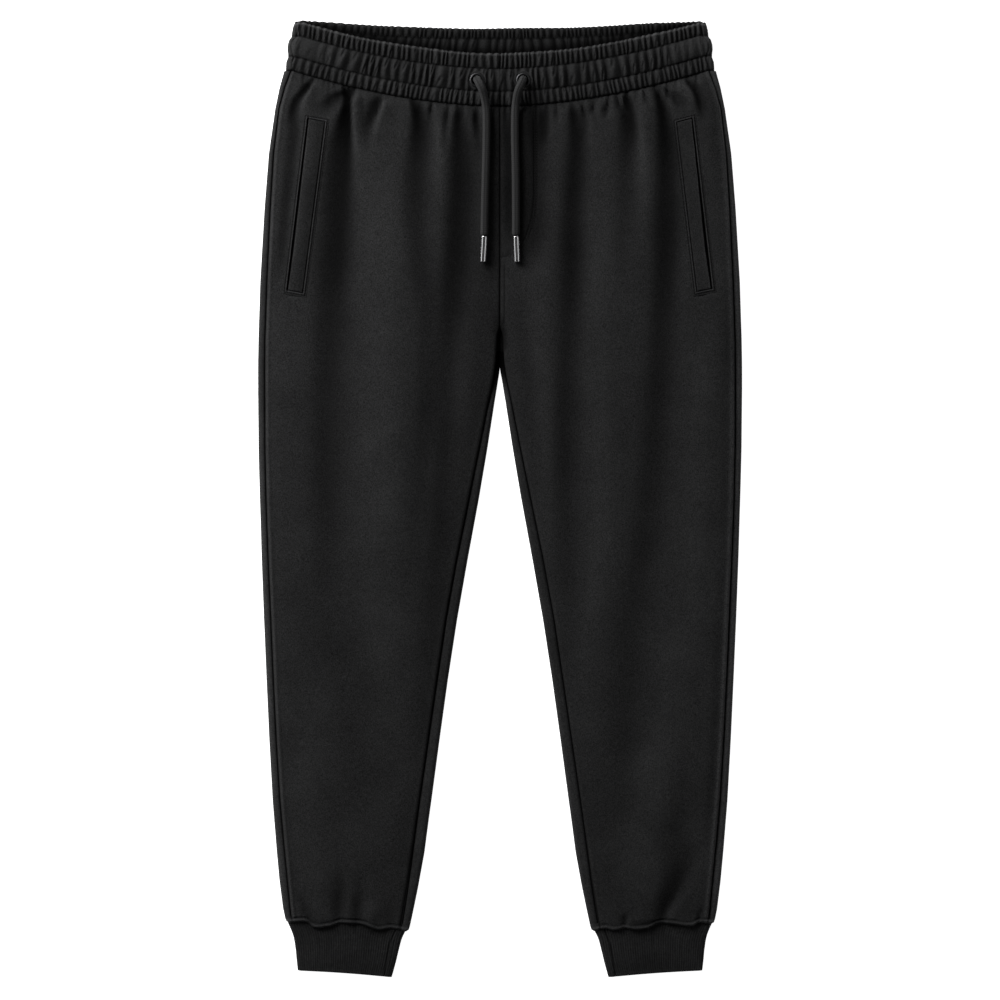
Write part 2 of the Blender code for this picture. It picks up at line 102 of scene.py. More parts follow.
def buildStudio():
    scene = bpy.context.scene
    scene.view_settings.view_transform = "Standard"
    scene.view_settings.look = "None"
    data = bpy.data.cameras.new("camera")
    data.lens, data.sensor_width = studio["lens"], studio["sensor"]
    data.clip_end = studio["farClip"]
    camera = bpy.data.objects.new("camera", data)
    camera.location = (studio["aimX"], studio["aimY"], studio["height"])
    scene.collection.objects.link(camera)
    scene.camera = camera

    for name, (place, aim, size, power) in studio["lamps"].items():
        addAreaLight(name, place, aim, size, power)

    world = bpy.data.worlds.new("paleRoom")
    world.use_nodes = True
    world.node_tree.nodes["Background"].inputs["Color"].default_value = (1, 1, 1, 1)
    world.node_tree.nodes["Background"].inputs["Strength"].default_value = studio["skyStrength"]
    scene.world = world

    bm = bmesh.new()
    bmesh.ops.create_grid(bm, x_segments=1, y_segments=1, size=studio["floorSize"])
    bmesh.ops.translate(bm, vec=(0, 0, -studio["floorDrop"]), verts=bm.verts[:])
    mesh = bpy.data.meshes.new("floor")
    bm.to_mesh(mesh)
    bm.free()
    paper = bpy.data.materials.new("palePaper")
    paper.use_nodes = True
    shader = paper.node_tree.nodes["Principled BSDF"]
    shader.inputs["Base Color"].default_value = (studio["floorTone"],) * 3 + (1,)
    shader.inputs["Roughness"].default_value = studio["floorRoughness"]
    shader.inputs["Emission Color"].default_value = (1, 1, 1, 1)
    shader.inputs["Emission Strength"].default_value = studio["floorGlow"]
    mesh.materials.append(paper)
    floor = bpy.data.objects.new("floor", mesh)
    scene.collection.objects.link(floor)
    print("studio ready")


buildStudio()


# shader effects shared by several materials

def newGroup(name, inputs, outputs):
    group = bpy.data.node_groups.new(name, "ShaderNodeTree")
    for label, kind, value in inputs:
        socket = group.interface.new_socket(label, in_out="INPUT", socket_type=kind)
        if value is not None:
            socket.default_value = value
    for label, kind in outputs:
        group.interface.new_socket(label, in_out="OUTPUT", socket_type=kind)
    return group, group.nodes.new("NodeGroupInput"), group.nodes.new("NodeGroupOutput")


def math2(tree, operation, first, second=None, third=None, clamp=False):
    node = tree.nodes.new("ShaderNodeMath")
    node.operation, node.use_clamp = operation, clamp
    for index, value in enumerate((first, second, third)):
        if value is None:
            continue
        if isinstance(value, (int, float)):
            node.inputs[index].default_value = value
        else:
            tree.links.new(value, node.inputs[index])
    return node.outputs[0]


def noiseAt(tree, vector, scale, detail=2.0, roughness=0.5):
    node = tree.nodes.new("ShaderNodeTexNoise")
    node.inputs["Detail"].default_value = detail
    node.inputs["Roughness"].default_value = roughness
    tree.links.new(vector, node.inputs["Vector"])
    if isinstance(scale, (int, float)):
        node.inputs["Scale"].default_value = scale
    else:
        tree.links.new(scale, node.inputs["Scale"])
    return node.outputs["Fac"]


def stretched(tree, vector, scale):
    node = tree.nodes.new("ShaderNodeMapping")
    node.inputs["Scale"].default_value = scale
    tree.links.new(vector, node.inputs["Vector"])
    return node.outputs[0]


def tinted(tree, colour, amount):
    # a colour made brighter or darker by an amount
    node = tree.nodes.new("ShaderNodeVectorMath")
    node.operation = "SCALE"
    tree.links.new(colour, node.inputs[0])
    tree.links.new(amount, node.inputs["Scale"])
    return node.outputs[0]


def buildNapGroup():
    # brushed cloth: a fine nap, small pills and slow changes of tone
    group, given, out = newGroup("clothNap", [
        ("Vector", "NodeSocketVector", None), ("Color", "NodeSocketColor", (0.02, 0.02, 0.02, 1)),
        ("Nap Scale", "NodeSocketFloat", 900.0), ("Nap Depth", "NodeSocketFloat", 0.3),
        ("Mottle", "NodeSocketFloat", 0.12), ("Shade", "NodeSocketFloat", 1.0)],
        [("Color", "NodeSocketColor"), ("Roughness", "NodeSocketFloat"), ("Height", "NodeSocketFloat")])
    vector = given.outputs["Vector"]
    nap = noiseAt(group, vector, given.outputs["Nap Scale"], 3.0, 0.6)
    fibres = noiseAt(group, stretched(group, vector, (1.0, 0.35, 1.0)), 1500.0, 2.0)
    pills = noiseAt(group, vector, 260.0, 2.0)
    slow = noiseAt(group, vector, 22.0, 2.0)
    fine = math2(group, "ADD", math2(group, "MULTIPLY", nap, 0.6), math2(group, "MULTIPLY", fibres, 0.4))
    centred = math2(group, "SUBTRACT", fine, 0.5)
    depth = math2(group, "MULTIPLY", given.outputs["Nap Depth"], 4.0)
    tone = math2(group, "MULTIPLY_ADD", centred, depth, 1.0)
    drift = math2(group, "ADD", math2(group, "SUBTRACT", slow, 0.5),
                  math2(group, "MULTIPLY", math2(group, "SUBTRACT", pills, 0.5), 0.8))
    tone = math2(group, "MULTIPLY", tone, math2(group, "MULTIPLY_ADD", drift, given.outputs["Mottle"], 1.0))
    tone = math2(group, "MULTIPLY", math2(group, "MAXIMUM", tone, 0.15), given.outputs["Shade"])
    group.links.new(tinted(group, given.outputs["Color"], tone), out.inputs["Color"])
    group.links.new(math2(group, "MULTIPLY_ADD", nap, 0.12, 0.86, clamp=True), out.inputs["Roughness"])
    height = math2(group, "ADD", fine, math2(group, "MULTIPLY", pills, 0.5))
    group.links.new(height, out.inputs["Height"])
    return group


def buildKnitGroup():
    # rib knit on the piece's own map: across in ribs and along in courses
    group, given, out = newGroup("ribKnit", [
        ("Vector", "NodeSocketVector", None), ("Ribs", "NodeSocketFloat", 45.0),
        ("Courses", "NodeSocketFloat", 40.0)],
        [("Tone", "NodeSocketFloat"), ("Height", "NodeSocketFloat")])
    split = group.nodes.new("ShaderNodeSeparateXYZ")
    group.links.new(given.outputs["Vector"], split.inputs[0])
    across = math2(group, "MULTIPLY", split.outputs["X"], given.outputs["Ribs"])
    along = math2(group, "MULTIPLY", split.outputs["Y"], given.outputs["Courses"])
    rib = math2(group, "ABSOLUTE", math2(group, "SINE", math2(group, "MULTIPLY", across, math.pi)))
    slant = math2(group, "ADD", along, math2(group, "MULTIPLY", rib, 0.5))
    course = math2(group, "ABSOLUTE", math2(group, "SINE", math2(group, "MULTIPLY", slant, math.pi)))
    height = math2(group, "MULTIPLY_ADD", rib, 0.7, math2(group, "MULTIPLY", course, 0.3))
    group.links.new(height, out.inputs["Height"])
    streaks = noiseAt(group, stretched(group, given.outputs["Vector"], (0.55, 0.09, 1.0)), 1.0, 2.0)
    # darker where the knit is low: painted shade between the ribs and courses
    tone = math2(group, "MULTIPLY_ADD", height, 0.30, 0.78)
    streaked = math2(group, "MULTIPLY_ADD", streaks, 0.6, 0.7)
    group.links.new(math2(group, "MULTIPLY", tone, streaked), out.inputs["Tone"])
    return group


def buildBraidGroup():
    # strands that cross on a round cord, on coordinates of the straightened cord
    group, given, out = newGroup("cordBraid", [
        ("Vector", "NodeSocketVector", None), ("Strands", "NodeSocketFloat", 12.0),
        ("Pitch", "NodeSocketFloat", 900.0)],
        [("Tone", "NodeSocketFloat"), ("Height", "NodeSocketFloat")])
    split = group.nodes.new("ShaderNodeSeparateXYZ")
    group.links.new(given.outputs["Vector"], split.inputs[0])
    angle = math2(group, "ARCTAN2", split.outputs["Y"], split.outputs["X"])
    around = math2(group, "MULTIPLY", angle, given.outputs["Strands"])
    along = math2(group, "MULTIPLY", split.outputs["Z"], given.outputs["Pitch"])
    one = math2(group, "SINE", math2(group, "ADD", around, along))
    other = math2(group, "SINE", math2(group, "SUBTRACT", around, along))
    height = math2(group, "MULTIPLY_ADD", math2(group, "MULTIPLY", one, other), 0.5, 0.5)
    group.links.new(height, out.inputs["Height"])
    # darker where the braid is low: painted shade between the strands
    group.links.new(math2(group, "MULTIPLY_ADD", height, 0.5, 0.72), out.inputs["Tone"])
    return group


def buildWearGroup():
    # handled metal: hairline scratches and duller patches
    group, given, out = newGroup("metalWear", [
        ("Vector", "NodeSocketVector", None), ("Color", "NodeSocketColor", (0.5, 0.5, 0.5, 1)),
        ("Gloss", "NodeSocketFloat", 0.15), ("Wear", "NodeSocketFloat", 0.3)],
        [("Color", "NodeSocketColor"), ("Roughness", "NodeSocketFloat"), ("Height", "NodeSocketFloat")])
    vector = given.outputs["Vector"]
    hairs = noiseAt(group, stretched(group, vector, (1.0, 0.06, 1.0)), 2600.0, 3.0)
    patches = noiseAt(group, vector, 320.0, 3.0)
    worn = math2(group, "MULTIPLY", patches, given.outputs["Wear"])
    tone = math2(group, "SUBTRACT", 1.06, math2(group, "MULTIPLY", worn, 0.45))
    group.links.new(tinted(group, given.outputs["Color"], tone), out.inputs["Color"])
    group.links.new(math2(group, "MULTIPLY_ADD", worn, 0.35, given.outputs["Gloss"]), out.inputs["Roughness"])
    group.links.new(hairs, out.inputs["Height"])
    return group


napGroup, knitGroup = buildNapGroup(), buildKnitGroup()
braidGroup, wearGroup = buildBraidGroup(), buildWearGroup()


def placeGroup(tree, group, vector, **values):
    node = tree.nodes.new("ShaderNodeGroup")
    node.node_tree = group
    tree.links.new(vector, node.inputs["Vector"])
    for label, value in values.items():
        node.inputs[label.replace("_", " ")].default_value = value
    return node


def addBump(tree, height, shader, look):
    bump = tree.nodes.new("ShaderNodeBump")
    bump.inputs["Strength"].default_value = look["bump"]
    bump.inputs["Distance"].default_value = look["bumpDepth"]
    tree.links.new(height, bump.inputs["Height"])
    tree.links.new(bump.outputs["Normal"], shader.inputs["Normal"])


def newMaterial(name):
    material = bpy.data.materials.new(name)
    material.use_nodes = True
    tree = material.node_tree
    return material, tree, tree.nodes["Principled BSDF"]


def objectPlace(tree):
    return tree.nodes.new("ShaderNodeTexCoord").outputs["Object"]


def attributeOf(tree, name, output="Fac"):
    node = tree.nodes.new("ShaderNodeAttribute")
    node.attribute_type = "GEOMETRY"
    node.attribute_name = name
    return node.outputs[output]


fleece = {"nap": 850.0, "specular": 0.04, "sheen": 0.015, "sheenRoughness": 0.45, "bumpDepth": 0.0004}
metal = {"bumpDepth": 0.00005}
looks = {
    "fleece": {**fleece, "color": (0.0190, 0.0191, 0.0194, 1), "napDepth": 0.95, "mottle": 0.6, "bump": 0.5},
    "fleeceBand": {**fleece, "color": (0.0235, 0.0236, 0.0239, 1), "napDepth": 0.7, "mottle": 0.4,
                   "bump": 0.4},
    # the backs take a lighter copy of the fleece: painted light on their turned edges
    "fleeceBack": {**fleece, "color": (0.0250, 0.0251, 0.0255, 1), "napDepth": 0.8, "mottle": 0.5,
                   "bump": 0.5},
    "ribKnit": {"color": (0.0192, 0.0193, 0.0196, 1), "nap": 900.0, "napDepth": 0.6, "mottle": 0.9,
                "specular": 0.04, "sheen": 0.015, "sheenRoughness": 0.5, "bump": 0.5, "bumpDepth": 0.0003,
                "napShare": 0.25},
    "braidedCord": {"color": (0.0262, 0.0263, 0.0267, 1), "nap": 1400.0, "napDepth": 0.15, "mottle": 0.15,
                    "specular": 0.1, "sheen": 0.03, "sheenRoughness": 0.4, "bump": 0.6, "bumpDepth": 0.0003,
                    "strands": 8.0, "pitch": 1500.0},
    "sewingThread": {"color": (0.011, 0.011, 0.0113, 1), "nap": 3000.0, "napDepth": 0.2, "mottle": 0.2,
                     "specular": 0.1, "roughness": 0.7, "bump": 0.3, "bumpDepth": 0.0001},
    "gunmetal": {**metal, "color": (0.055, 0.055, 0.057, 1), "gloss": 0.34, "wear": 0.3, "bump": 0.1},
    "polishedTip": {**metal, "color": (0.80, 0.80, 0.81, 1), "gloss": 0.06, "wear": 0.03, "bump": 0.001},
}


def addNap(tree, shader, look, place, tone=None):
    # the brushed surface that cloth, cord and thread share; a painted shade multiplies its colour
    nap = placeGroup(tree, napGroup, place, Color=look["color"], Nap_Scale=look["nap"],
                     Nap_Depth=look["napDepth"], Mottle=look["mottle"])
    if tone is not None:
        tree.links.new(tone, nap.inputs["Shade"])
    tree.links.new(nap.outputs["Color"], shader.inputs["Base Color"])
    shader.inputs["Specular IOR Level"].default_value = look["specular"]
    if "roughness" in look:
        shader.inputs["Roughness"].default_value = look["roughness"]
        return nap
    tree.links.new(nap.outputs["Roughness"], shader.inputs["Roughness"])
    shader.inputs["Sheen Weight"].default_value = look["sheen"]
    shader.inputs["Sheen Roughness"].default_value = look["sheenRoughness"]
    return nap


def clothMaterial(name):
    material, tree, shader = newMaterial(name)
    nap = addNap(tree, shader, looks[name], objectPlace(tree), attributeOf(tree, "shade"))
    addBump(tree, nap.outputs["Height"], shader, looks[name])
    return material


def ribMaterial(name):
    look = looks[name]
    material, tree, shader = newMaterial(name)
    own = tree.nodes.new("ShaderNodeUVMap")
    own.uv_map = "flat"
    knit = placeGroup(tree, knitGroup, own.outputs["UV"], Ribs=1.0, Courses=1.0)
    tone = math2(tree, "MULTIPLY", knit.outputs["Tone"], attributeOf(tree, "shade"))
    nap = addNap(tree, shader, look, objectPlace(tree), tone)
    height = math2(tree, "MULTIPLY_ADD", nap.outputs["Height"], look["napShare"], knit.outputs["Height"])
    addBump(tree, height, shader, look)
    return material


def cordMaterial(name):
    look = looks[name]
    material, tree, shader = newMaterial(name)
    straight = attributeOf(tree, "straight", "Vector")
    braid = placeGroup(tree, braidGroup, straight, Strands=look["strands"], Pitch=look["pitch"])
    tone = math2(tree, "MULTIPLY", braid.outputs["Tone"], attributeOf(tree, "shade"))
    addNap(tree, shader, look, straight, tone)
    addBump(tree, braid.outputs["Height"], shader, look)
    return material


def threadMaterial(name):
    material, tree, shader = newMaterial(name)
    nap = addNap(tree, shader, looks[name], objectPlace(tree))
    addBump(tree, nap.outputs["Height"], shader, looks[name])
    return material


def metalMaterial(name, paintedReflection=False):
    look = looks[name]
    material, tree, shader = newMaterial(name)
    worn = placeGroup(tree, wearGroup, objectPlace(tree), Color=look["color"], Gloss=look["gloss"],
                      Wear=look["wear"])
    tone = worn.outputs["Color"]
    # the shade attribute paints a dark reflection line along the tip's top
    if paintedReflection:
        tone = tinted(tree, tone, attributeOf(tree, "shade"))
    tree.links.new(tone, shader.inputs["Base Color"])
    tree.links.new(worn.outputs["Roughness"], shader.inputs["Roughness"])
    shader.inputs["Metallic"].default_value = 1.0
    addBump(tree, worn.outputs["Height"], shader, look)
    return material


finishes = {name: clothMaterial(name) for name in ("fleece", "fleeceBand", "fleeceBack")}
finishes["rib"] = ribMaterial("ribKnit")
finishes["cord"] = cordMaterial("braidedCord")
finishes["thread"] = threadMaterial("sewingThread")
finishes["gunmetal"] = metalMaterial("gunmetal")
finishes["chrome"] = metalMaterial("polishedTip", paintedReflection=True)
print("materials ready")


# mesh helpers

def vertexPlaces(bm):
    return np.array([vert.co for vert in bm.verts])


def moveVertices(bm, places):
    for vert, place in zip(bm.verts, places):
        vert.co = place


def cutSquare(columns, rows):
    # a flat square from 0 to 1 each way, which a piece's own map then moves to its place
    bm = bmesh.new()
    bmesh.ops.create_grid(bm, x_segments=columns, y_segments=rows, size=0.5)
    bmesh.ops.translate(bm, vec=(0.5, 0.5, 0.0), verts=bm.verts[:])
    return bm


def refine(bm, wanted, cuts=1):
    # smaller cells round the vertices that are wanted
    near = {vert for vert, chosen in zip(bm.verts, wanted) if chosen}
    bmesh.ops.subdivide_edges(bm, edges=[edge for edge in bm.edges if near.issuperset(edge.verts)], cuts=cuts,
                              use_grid_fill=True)


def faceOut(bm, lowest=None):
    # an open piece faces up, and a wrapped one faces down at its lowest face
    bmesh.ops.recalc_face_normals(bm, faces=bm.faces[:])
    if lowest is None:
        wrong = sum(face.normal.z for face in bm.faces) < 0
    else:
        low = min(bm.faces, key=lowest)
        low.normal_update()
        wrong = low.normal.z > 0
    if wrong:
        bmesh.ops.reverse_faces(bm, faces=bm.faces[:])


def thicken(bm, cloth, shade, innerShade):
    # the cloth's second side and its rim, in one painted shade, whose vertices come after the first side's
    count = len(bm.verts)
    bmesh.ops.solidify(bm, geom=bm.faces[:], thickness=cloth)
    return np.concatenate([shade, np.full(len(bm.verts) - count, innerShade)])


def turned(profile, steps, closed=False):
    # points of radius and height, spun about the upright axis
    bm = bmesh.new()
    verts = [bm.verts.new((radius, 0.0, height)) for radius, height in profile]
    following = verts[1:] + verts[:1] if closed else verts[1:]
    edges = [bm.edges.new(pair) for pair in zip(verts, following)]
    bmesh.ops.spin(bm, geom=edges, axis=(0, 0, 1), cent=(0, 0, 0), angle=2 * math.pi, steps=steps,
                   use_merge=True)
    bmesh.ops.remove_doubles(bm, verts=bm.verts[:], dist=0.001)
    bmesh.ops.recalc_face_normals(bm, faces=bm.faces[:])
    return bm


def finishPiece(name, bm, finish, replaced=(), shade=None, straight=None, sharp=50.0):
    # one mesh in metres on the root body, in the place of its CAD nodes
    bmesh.ops.scale(bm, vec=(mm, mm, mm), verts=bm.verts[:])
    mesh = bpy.data.meshes.new(name)
    bm.to_mesh(mesh)
    bm.free()
    mesh.shade_smooth()
    mesh.set_sharp_from_angle(angle=math.radians(sharp))
    if shade is not None:
        layer = mesh.attributes.new("shade", "FLOAT", "POINT")
        layer.data.foreach_set("value", np.asarray(shade, np.float32))
    if straight is not None:
        layer = mesh.attributes.new("straight", "FLOAT_VECTOR", "POINT")
        layer.data.foreach_set("vector", np.asarray(straight, np.float32).ravel())
    mesh.materials.append(finishes[finish])
    piece = bpy.data.objects.new(name, mesh)
    bpy.context.scene.collection.objects.link(piece)
    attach(piece, "root")
    if replaced:
        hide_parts(*replaced)
    print(name, len(mesh.polygons), "faces")
    return piece


def smoothTable(rows, step):
    # a table's rows joined by a soft curve and read off at even steps of its first column
    rows = np.array(sorted(rows), float)
    keys = rows[:, 0]
    slopes = np.gradient(rows, keys, axis=0)
    wanted = np.arange(keys[0], keys[-1] + step, step).clip(keys[0], keys[-1])
    index = np.clip(np.searchsorted(keys, wanted, side="right") - 1, 0, len(keys) - 2)
    gap = keys[index + 1] - keys[index]
    t = ((wanted - keys[index]) / gap)[:, None]
    gap = gap[:, None]
    level = 3 * t ** 2 - 2 * t ** 3
    fine = ((1 - level) * rows[index] + (t ** 3 - 2 * t ** 2 + t) * gap * slopes[index]
            + level * rows[index + 1] + (t ** 3 - t ** 2) * gap * slopes[index + 1])
    fine[:, 0] = wanted
    return fine


def readTable(table, y, column):
    return np.interp(y, table[:, 0], table[:, column])


def curveThrough(points, step):
    # points about a step apart on a Catmull-Rom curve
    points = [np.array(point, float) for point in points]
    ends = [points[0] * 2 - points[1]] + points + [points[-1] * 2 - points[-2]]
    fine = []
    for a, b, c, d in zip(ends, ends[1:], ends[2:], ends[3:]):
        for t in np.arange(24) / 24:
            fine.append(0.5 * (2 * b + (c - a) * t + (2 * a - 5 * b + 4 * c - d) * t ** 2
                               + (3 * b - a - 3 * c + d) * t ** 3))
    fine = np.array(fine + [points[-1]])
    lengths = np.concatenate([[0.0], np.cumsum(np.linalg.norm(np.diff(fine, axis=0), axis=1))])
    count = max(round(lengths[-1] / step), 2)
    wanted = np.linspace(0.0, lengths[-1], count + 1)
    return np.stack([np.interp(wanted, lengths, fine[:, k]) for k in range(fine.shape[1])], axis=1)


# drawcords, their tips and the eyelets

cordSizes = {
    "diameter": 8.7, "sides": 44, "step": 0.9, "relief": 0.10, "inset": 0.08, "strands": 8, "pitch": 4.2,
    # the radius of its end in the tip and the length over which it narrows
    "neck": 3.2, "neckLength": 3.2,
    # grooves along it, at angles from its top, and the dark line between two lighter strands
    "seams": (0.12, 2.2), "seamWidth": 0.10, "seamDepth": 0.45, "lineWidth": 0.24, "lineDepth": 0.45,
    "strandAngle": 0.75, "strandWidth": 0.3, "strandRise": 0.2,
    "routes": {
        "right": [(-24.7, 450.6, 10.4), (-24.6, 450.5, 14.5), (-23.9, 448.8, 19.8), (-21.9, 444.6, 23.4),
                  (-19.4, 439.6, 24.0), (-17.0, 431.6, 21.2), (-15.3, 421.5, 18.7), (-14.6, 408.0, 18.3),
                  (-14.6, 390.0, 18.6), (-15.2, 358.0, 19.1), (-16.1, 324.0, 19.0), (-16.9, 281.8, 18.9)],
        "left": [(24.9, 450.6, 10.4), (24.8, 450.5, 14.5), (24.2, 448.8, 19.8), (22.4, 444.4, 23.4),
                 (20.0, 439.2, 24.0), (17.9, 431.4, 21.2), (16.6, 421.5, 18.7), (16.0, 408.0, 18.3),
                 (15.9, 390.0, 18.6), (16.6, 358.0, 19.1), (17.0, 324.0, 19.0), (17.1, 281.8, 18.9)]},
}
tipSizes = {
    "radius": 3.75, "length": 27.4, "wall": 0.5, "corner": 0.9, "mouth": 2.2, "steps": 72,
    # how far its end lies to the side and below its start
    "drift": {"right": 1.6, "left": 1.0}, "sink": 0.5,
    # degrees each side of the seam painted darker as a painted reflection, and the groove's depth
    "reflectionHalf": 12, "seamDepth": 0.3,
}
eyeletSizes = {
    "x": 25.0, "y": 450.2, "outer": 7.8, "inner": 5.2, "wall": 0.5, "seat": 12.2, "rise": 1.5, "depth": 3.0,
    "under": 0.25, "steps": 72,
}


def sweepTube(bm, route, sides, radiusAt):
    # a circle extruded from point to point, kept square to the route without twisting; angle 0 is its top
    heading = Vector(route[1] - route[0]).normalized()
    across = heading.orthogonal().normalized()
    frames, travelled = [(heading, across, 0.0)], 0.0
    for index in range(1, len(route)):
        travelled += float(np.linalg.norm(route[index] - route[index - 1]))
        nextHeading = Vector(route[min(index + 1, len(route) - 1)] - route[index - 1]).normalized()
        across = heading.rotation_difference(nextHeading) @ across
        heading = nextHeading
        frames.append((heading, across, travelled))
    top = math.atan2(heading.cross(across).z, across.z)
    made = bmesh.ops.create_circle(bm, cap_ends=False, segments=sides, radius=1.0)
    ring = made["verts"]
    edges = list({edge for vert in ring for edge in vert.link_edges})
    angles = [math.atan2(vert.co.y, vert.co.x) for vert in ring]
    rings, straight = [], []
    for index, (point, (heading, across, travelled)) in enumerate(zip(route, frames)):
        if index:
            made = bmesh.ops.extrude_edge_only(bm, edges=edges)["geom"]
            fresh = {tuple(item.co): item for item in made if isinstance(item, bmesh.types.BMVert)}
            edges = [item for item in made if isinstance(item, bmesh.types.BMEdge)
                     and set(fresh.values()).issuperset(item.verts)]
            ring = [fresh[tuple(vert.co)] for vert in ring]
        beside = heading.cross(across)
        for vert, angle in zip(ring, angles):
            radius = radiusAt(angle - top, travelled)
            vert.co = Vector(point) + (across * math.cos(angle) + beside * math.sin(angle)) * radius
            straight.append((math.cos(angle) * radius * mm, math.sin(angle) * radius * mm, travelled * mm))
        rings.append(ring)
    bmesh.ops.contextual_create(bm, geom=rings[0])
    bmesh.ops.contextual_create(bm, geom=rings[-1])
    bmesh.ops.recalc_face_normals(bm, faces=bm.faces[:])
    return straight


def buildTip(sideName):
    # a polished tube: a mouth round the cord, a thin lip, the barrel and a rounded end
    end = Vector(cordSizes["routes"][sideName][-1])
    radius, length, corner = tipSizes["radius"], tipSizes["length"], tipSizes["corner"]
    heading = Vector((sides[sideName] * tipSizes["drift"][sideName], -length, -tipSizes["sink"])).normalized()
    bore = radius - tipSizes["wall"]
    profile = [(0.0, tipSizes["mouth"]), (bore, tipSizes["mouth"]), (bore, 0.15), (radius - 0.2, -0.1),
               (radius, 0.12), (radius, 0.4), (radius, length - corner - 0.4), (radius, length - corner)]
    for angle in np.radians((20, 45, 70, 90)):
        profile.append((radius - corner * (1 - math.cos(angle)), length - corner * (1 - math.sin(angle))))
    bm = turned(profile + [(0.9, length - 0.08), (0.0, length - 0.05)], tipSizes["steps"])
    # the rolled sheet meets in a seam along the top, cut as a shallow groove; the dark line along it is a
    # painted reflection
    shade = []
    for vert in bm.verts:
        gap = abs(math.degrees(math.atan2(vert.co.x, vert.co.y)))
        outside = math.hypot(vert.co.x, vert.co.y) > radius - 0.6 and 0.1 < vert.co.z < length - 0.4
        split = outside and gap < tipSizes["reflectionHalf"]
        shade.append(min(1.0, 0.03 + 0.30 * (gap / 5.0) ** 1.2) if split else 1.0)
        if split and gap < 2:
            vert.co.y -= tipSizes["seamDepth"]
    turn = heading.to_track_quat("Z", "Y").to_matrix().to_4x4()
    bmesh.ops.transform(bm, matrix=Matrix.Translation(end + heading * 0.3) @ turn, verts=bm.verts[:])
    return finishPiece(f"tip_{sideName}", bm, "chrome", [f"cord_tip_{sideName}"], shade=shade,
                       sharp=60)


def buildCord(sideName):
    route = curveThrough(cordSizes["routes"][sideName], cordSizes["step"])
    total = float(np.sum(np.linalg.norm(np.diff(route, axis=0), axis=1)))
    radius = cordSizes["diameter"] / 2
    tones = []

    def radiusAt(angle, travelled):
        # a darker line along the top between two lighter strands, and the weave's relief
        angle = math.remainder(angle, 2 * math.pi)
        line = bell(angle - cordSizes["seams"][0], cordSizes["lineWidth"])
        strand = bell(abs(angle) - cordSizes["strandAngle"], cordSizes["strandWidth"])
        tones.append(1.0 - cordSizes["lineDepth"] * line + cordSizes["strandRise"] * strand)
        turns, around = 2 * math.pi * travelled / cordSizes["pitch"], cordSizes["strands"] * angle
        weave = math.sin(around + turns) * math.sin(around - turns)
        groove = sum(bell(math.remainder(angle - seam, 2 * math.pi), cordSizes["seamWidth"])
                     for seam in cordSizes["seams"])
        full = radius - cordSizes["inset"] + cordSizes["relief"] * weave - cordSizes["seamDepth"] * groove
        widened = float(smoothStep(total - travelled, 0.0, cordSizes["neckLength"]))
        return mix(cordSizes["neck"], full, widened)

    bm = bmesh.new()
    straight = sweepTube(bm, route, cordSizes["sides"], radiusAt)
    cord = finishPiece(f"cord_{sideName}", bm, "cord", [f"drawcord_{sideName}"], straight=straight,
                       shade=np.array(tones), sharp=80)
    buildTip(sideName)


def buildEyelet(sideName):
    # a turned ring: a rolled flange pressed into the waistband and a barrel down its hole
    inner, outer, seat, rise = (eyeletSizes[key] for key in ("inner", "outer", "seat", "rise"))
    floor, under, wall = seat - eyeletSizes["depth"], seat - eyeletSizes["under"], inner + eyeletSizes["wall"]
    roll = (outer - inner) / 2
    profile = [(inner + 0.1, floor), (inner, seat + 0.3)]
    for angle in np.radians(range(160, -21, -15)):
        profile.append((inner + roll + roll * math.cos(angle), seat + rise * (0.35 + 0.65 * math.sin(angle))))
    profile += [(outer - 0.2, under), (wall, under), (wall, floor)]
    bm = turned(profile, eyeletSizes["steps"], closed=True)
    bmesh.ops.translate(bm, vec=(sides[sideName] * eyeletSizes["x"], eyeletSizes["y"], 0), verts=bm.verts[:])
    finishPiece(f"ring_{sideName}", bm, "gunmetal", [f"eyelet_{sideName}"], sharp=60)


for sideName in sides:
    buildCord(sideName)
    buildEyelet(sideName)
print("cords ready")


# the legs

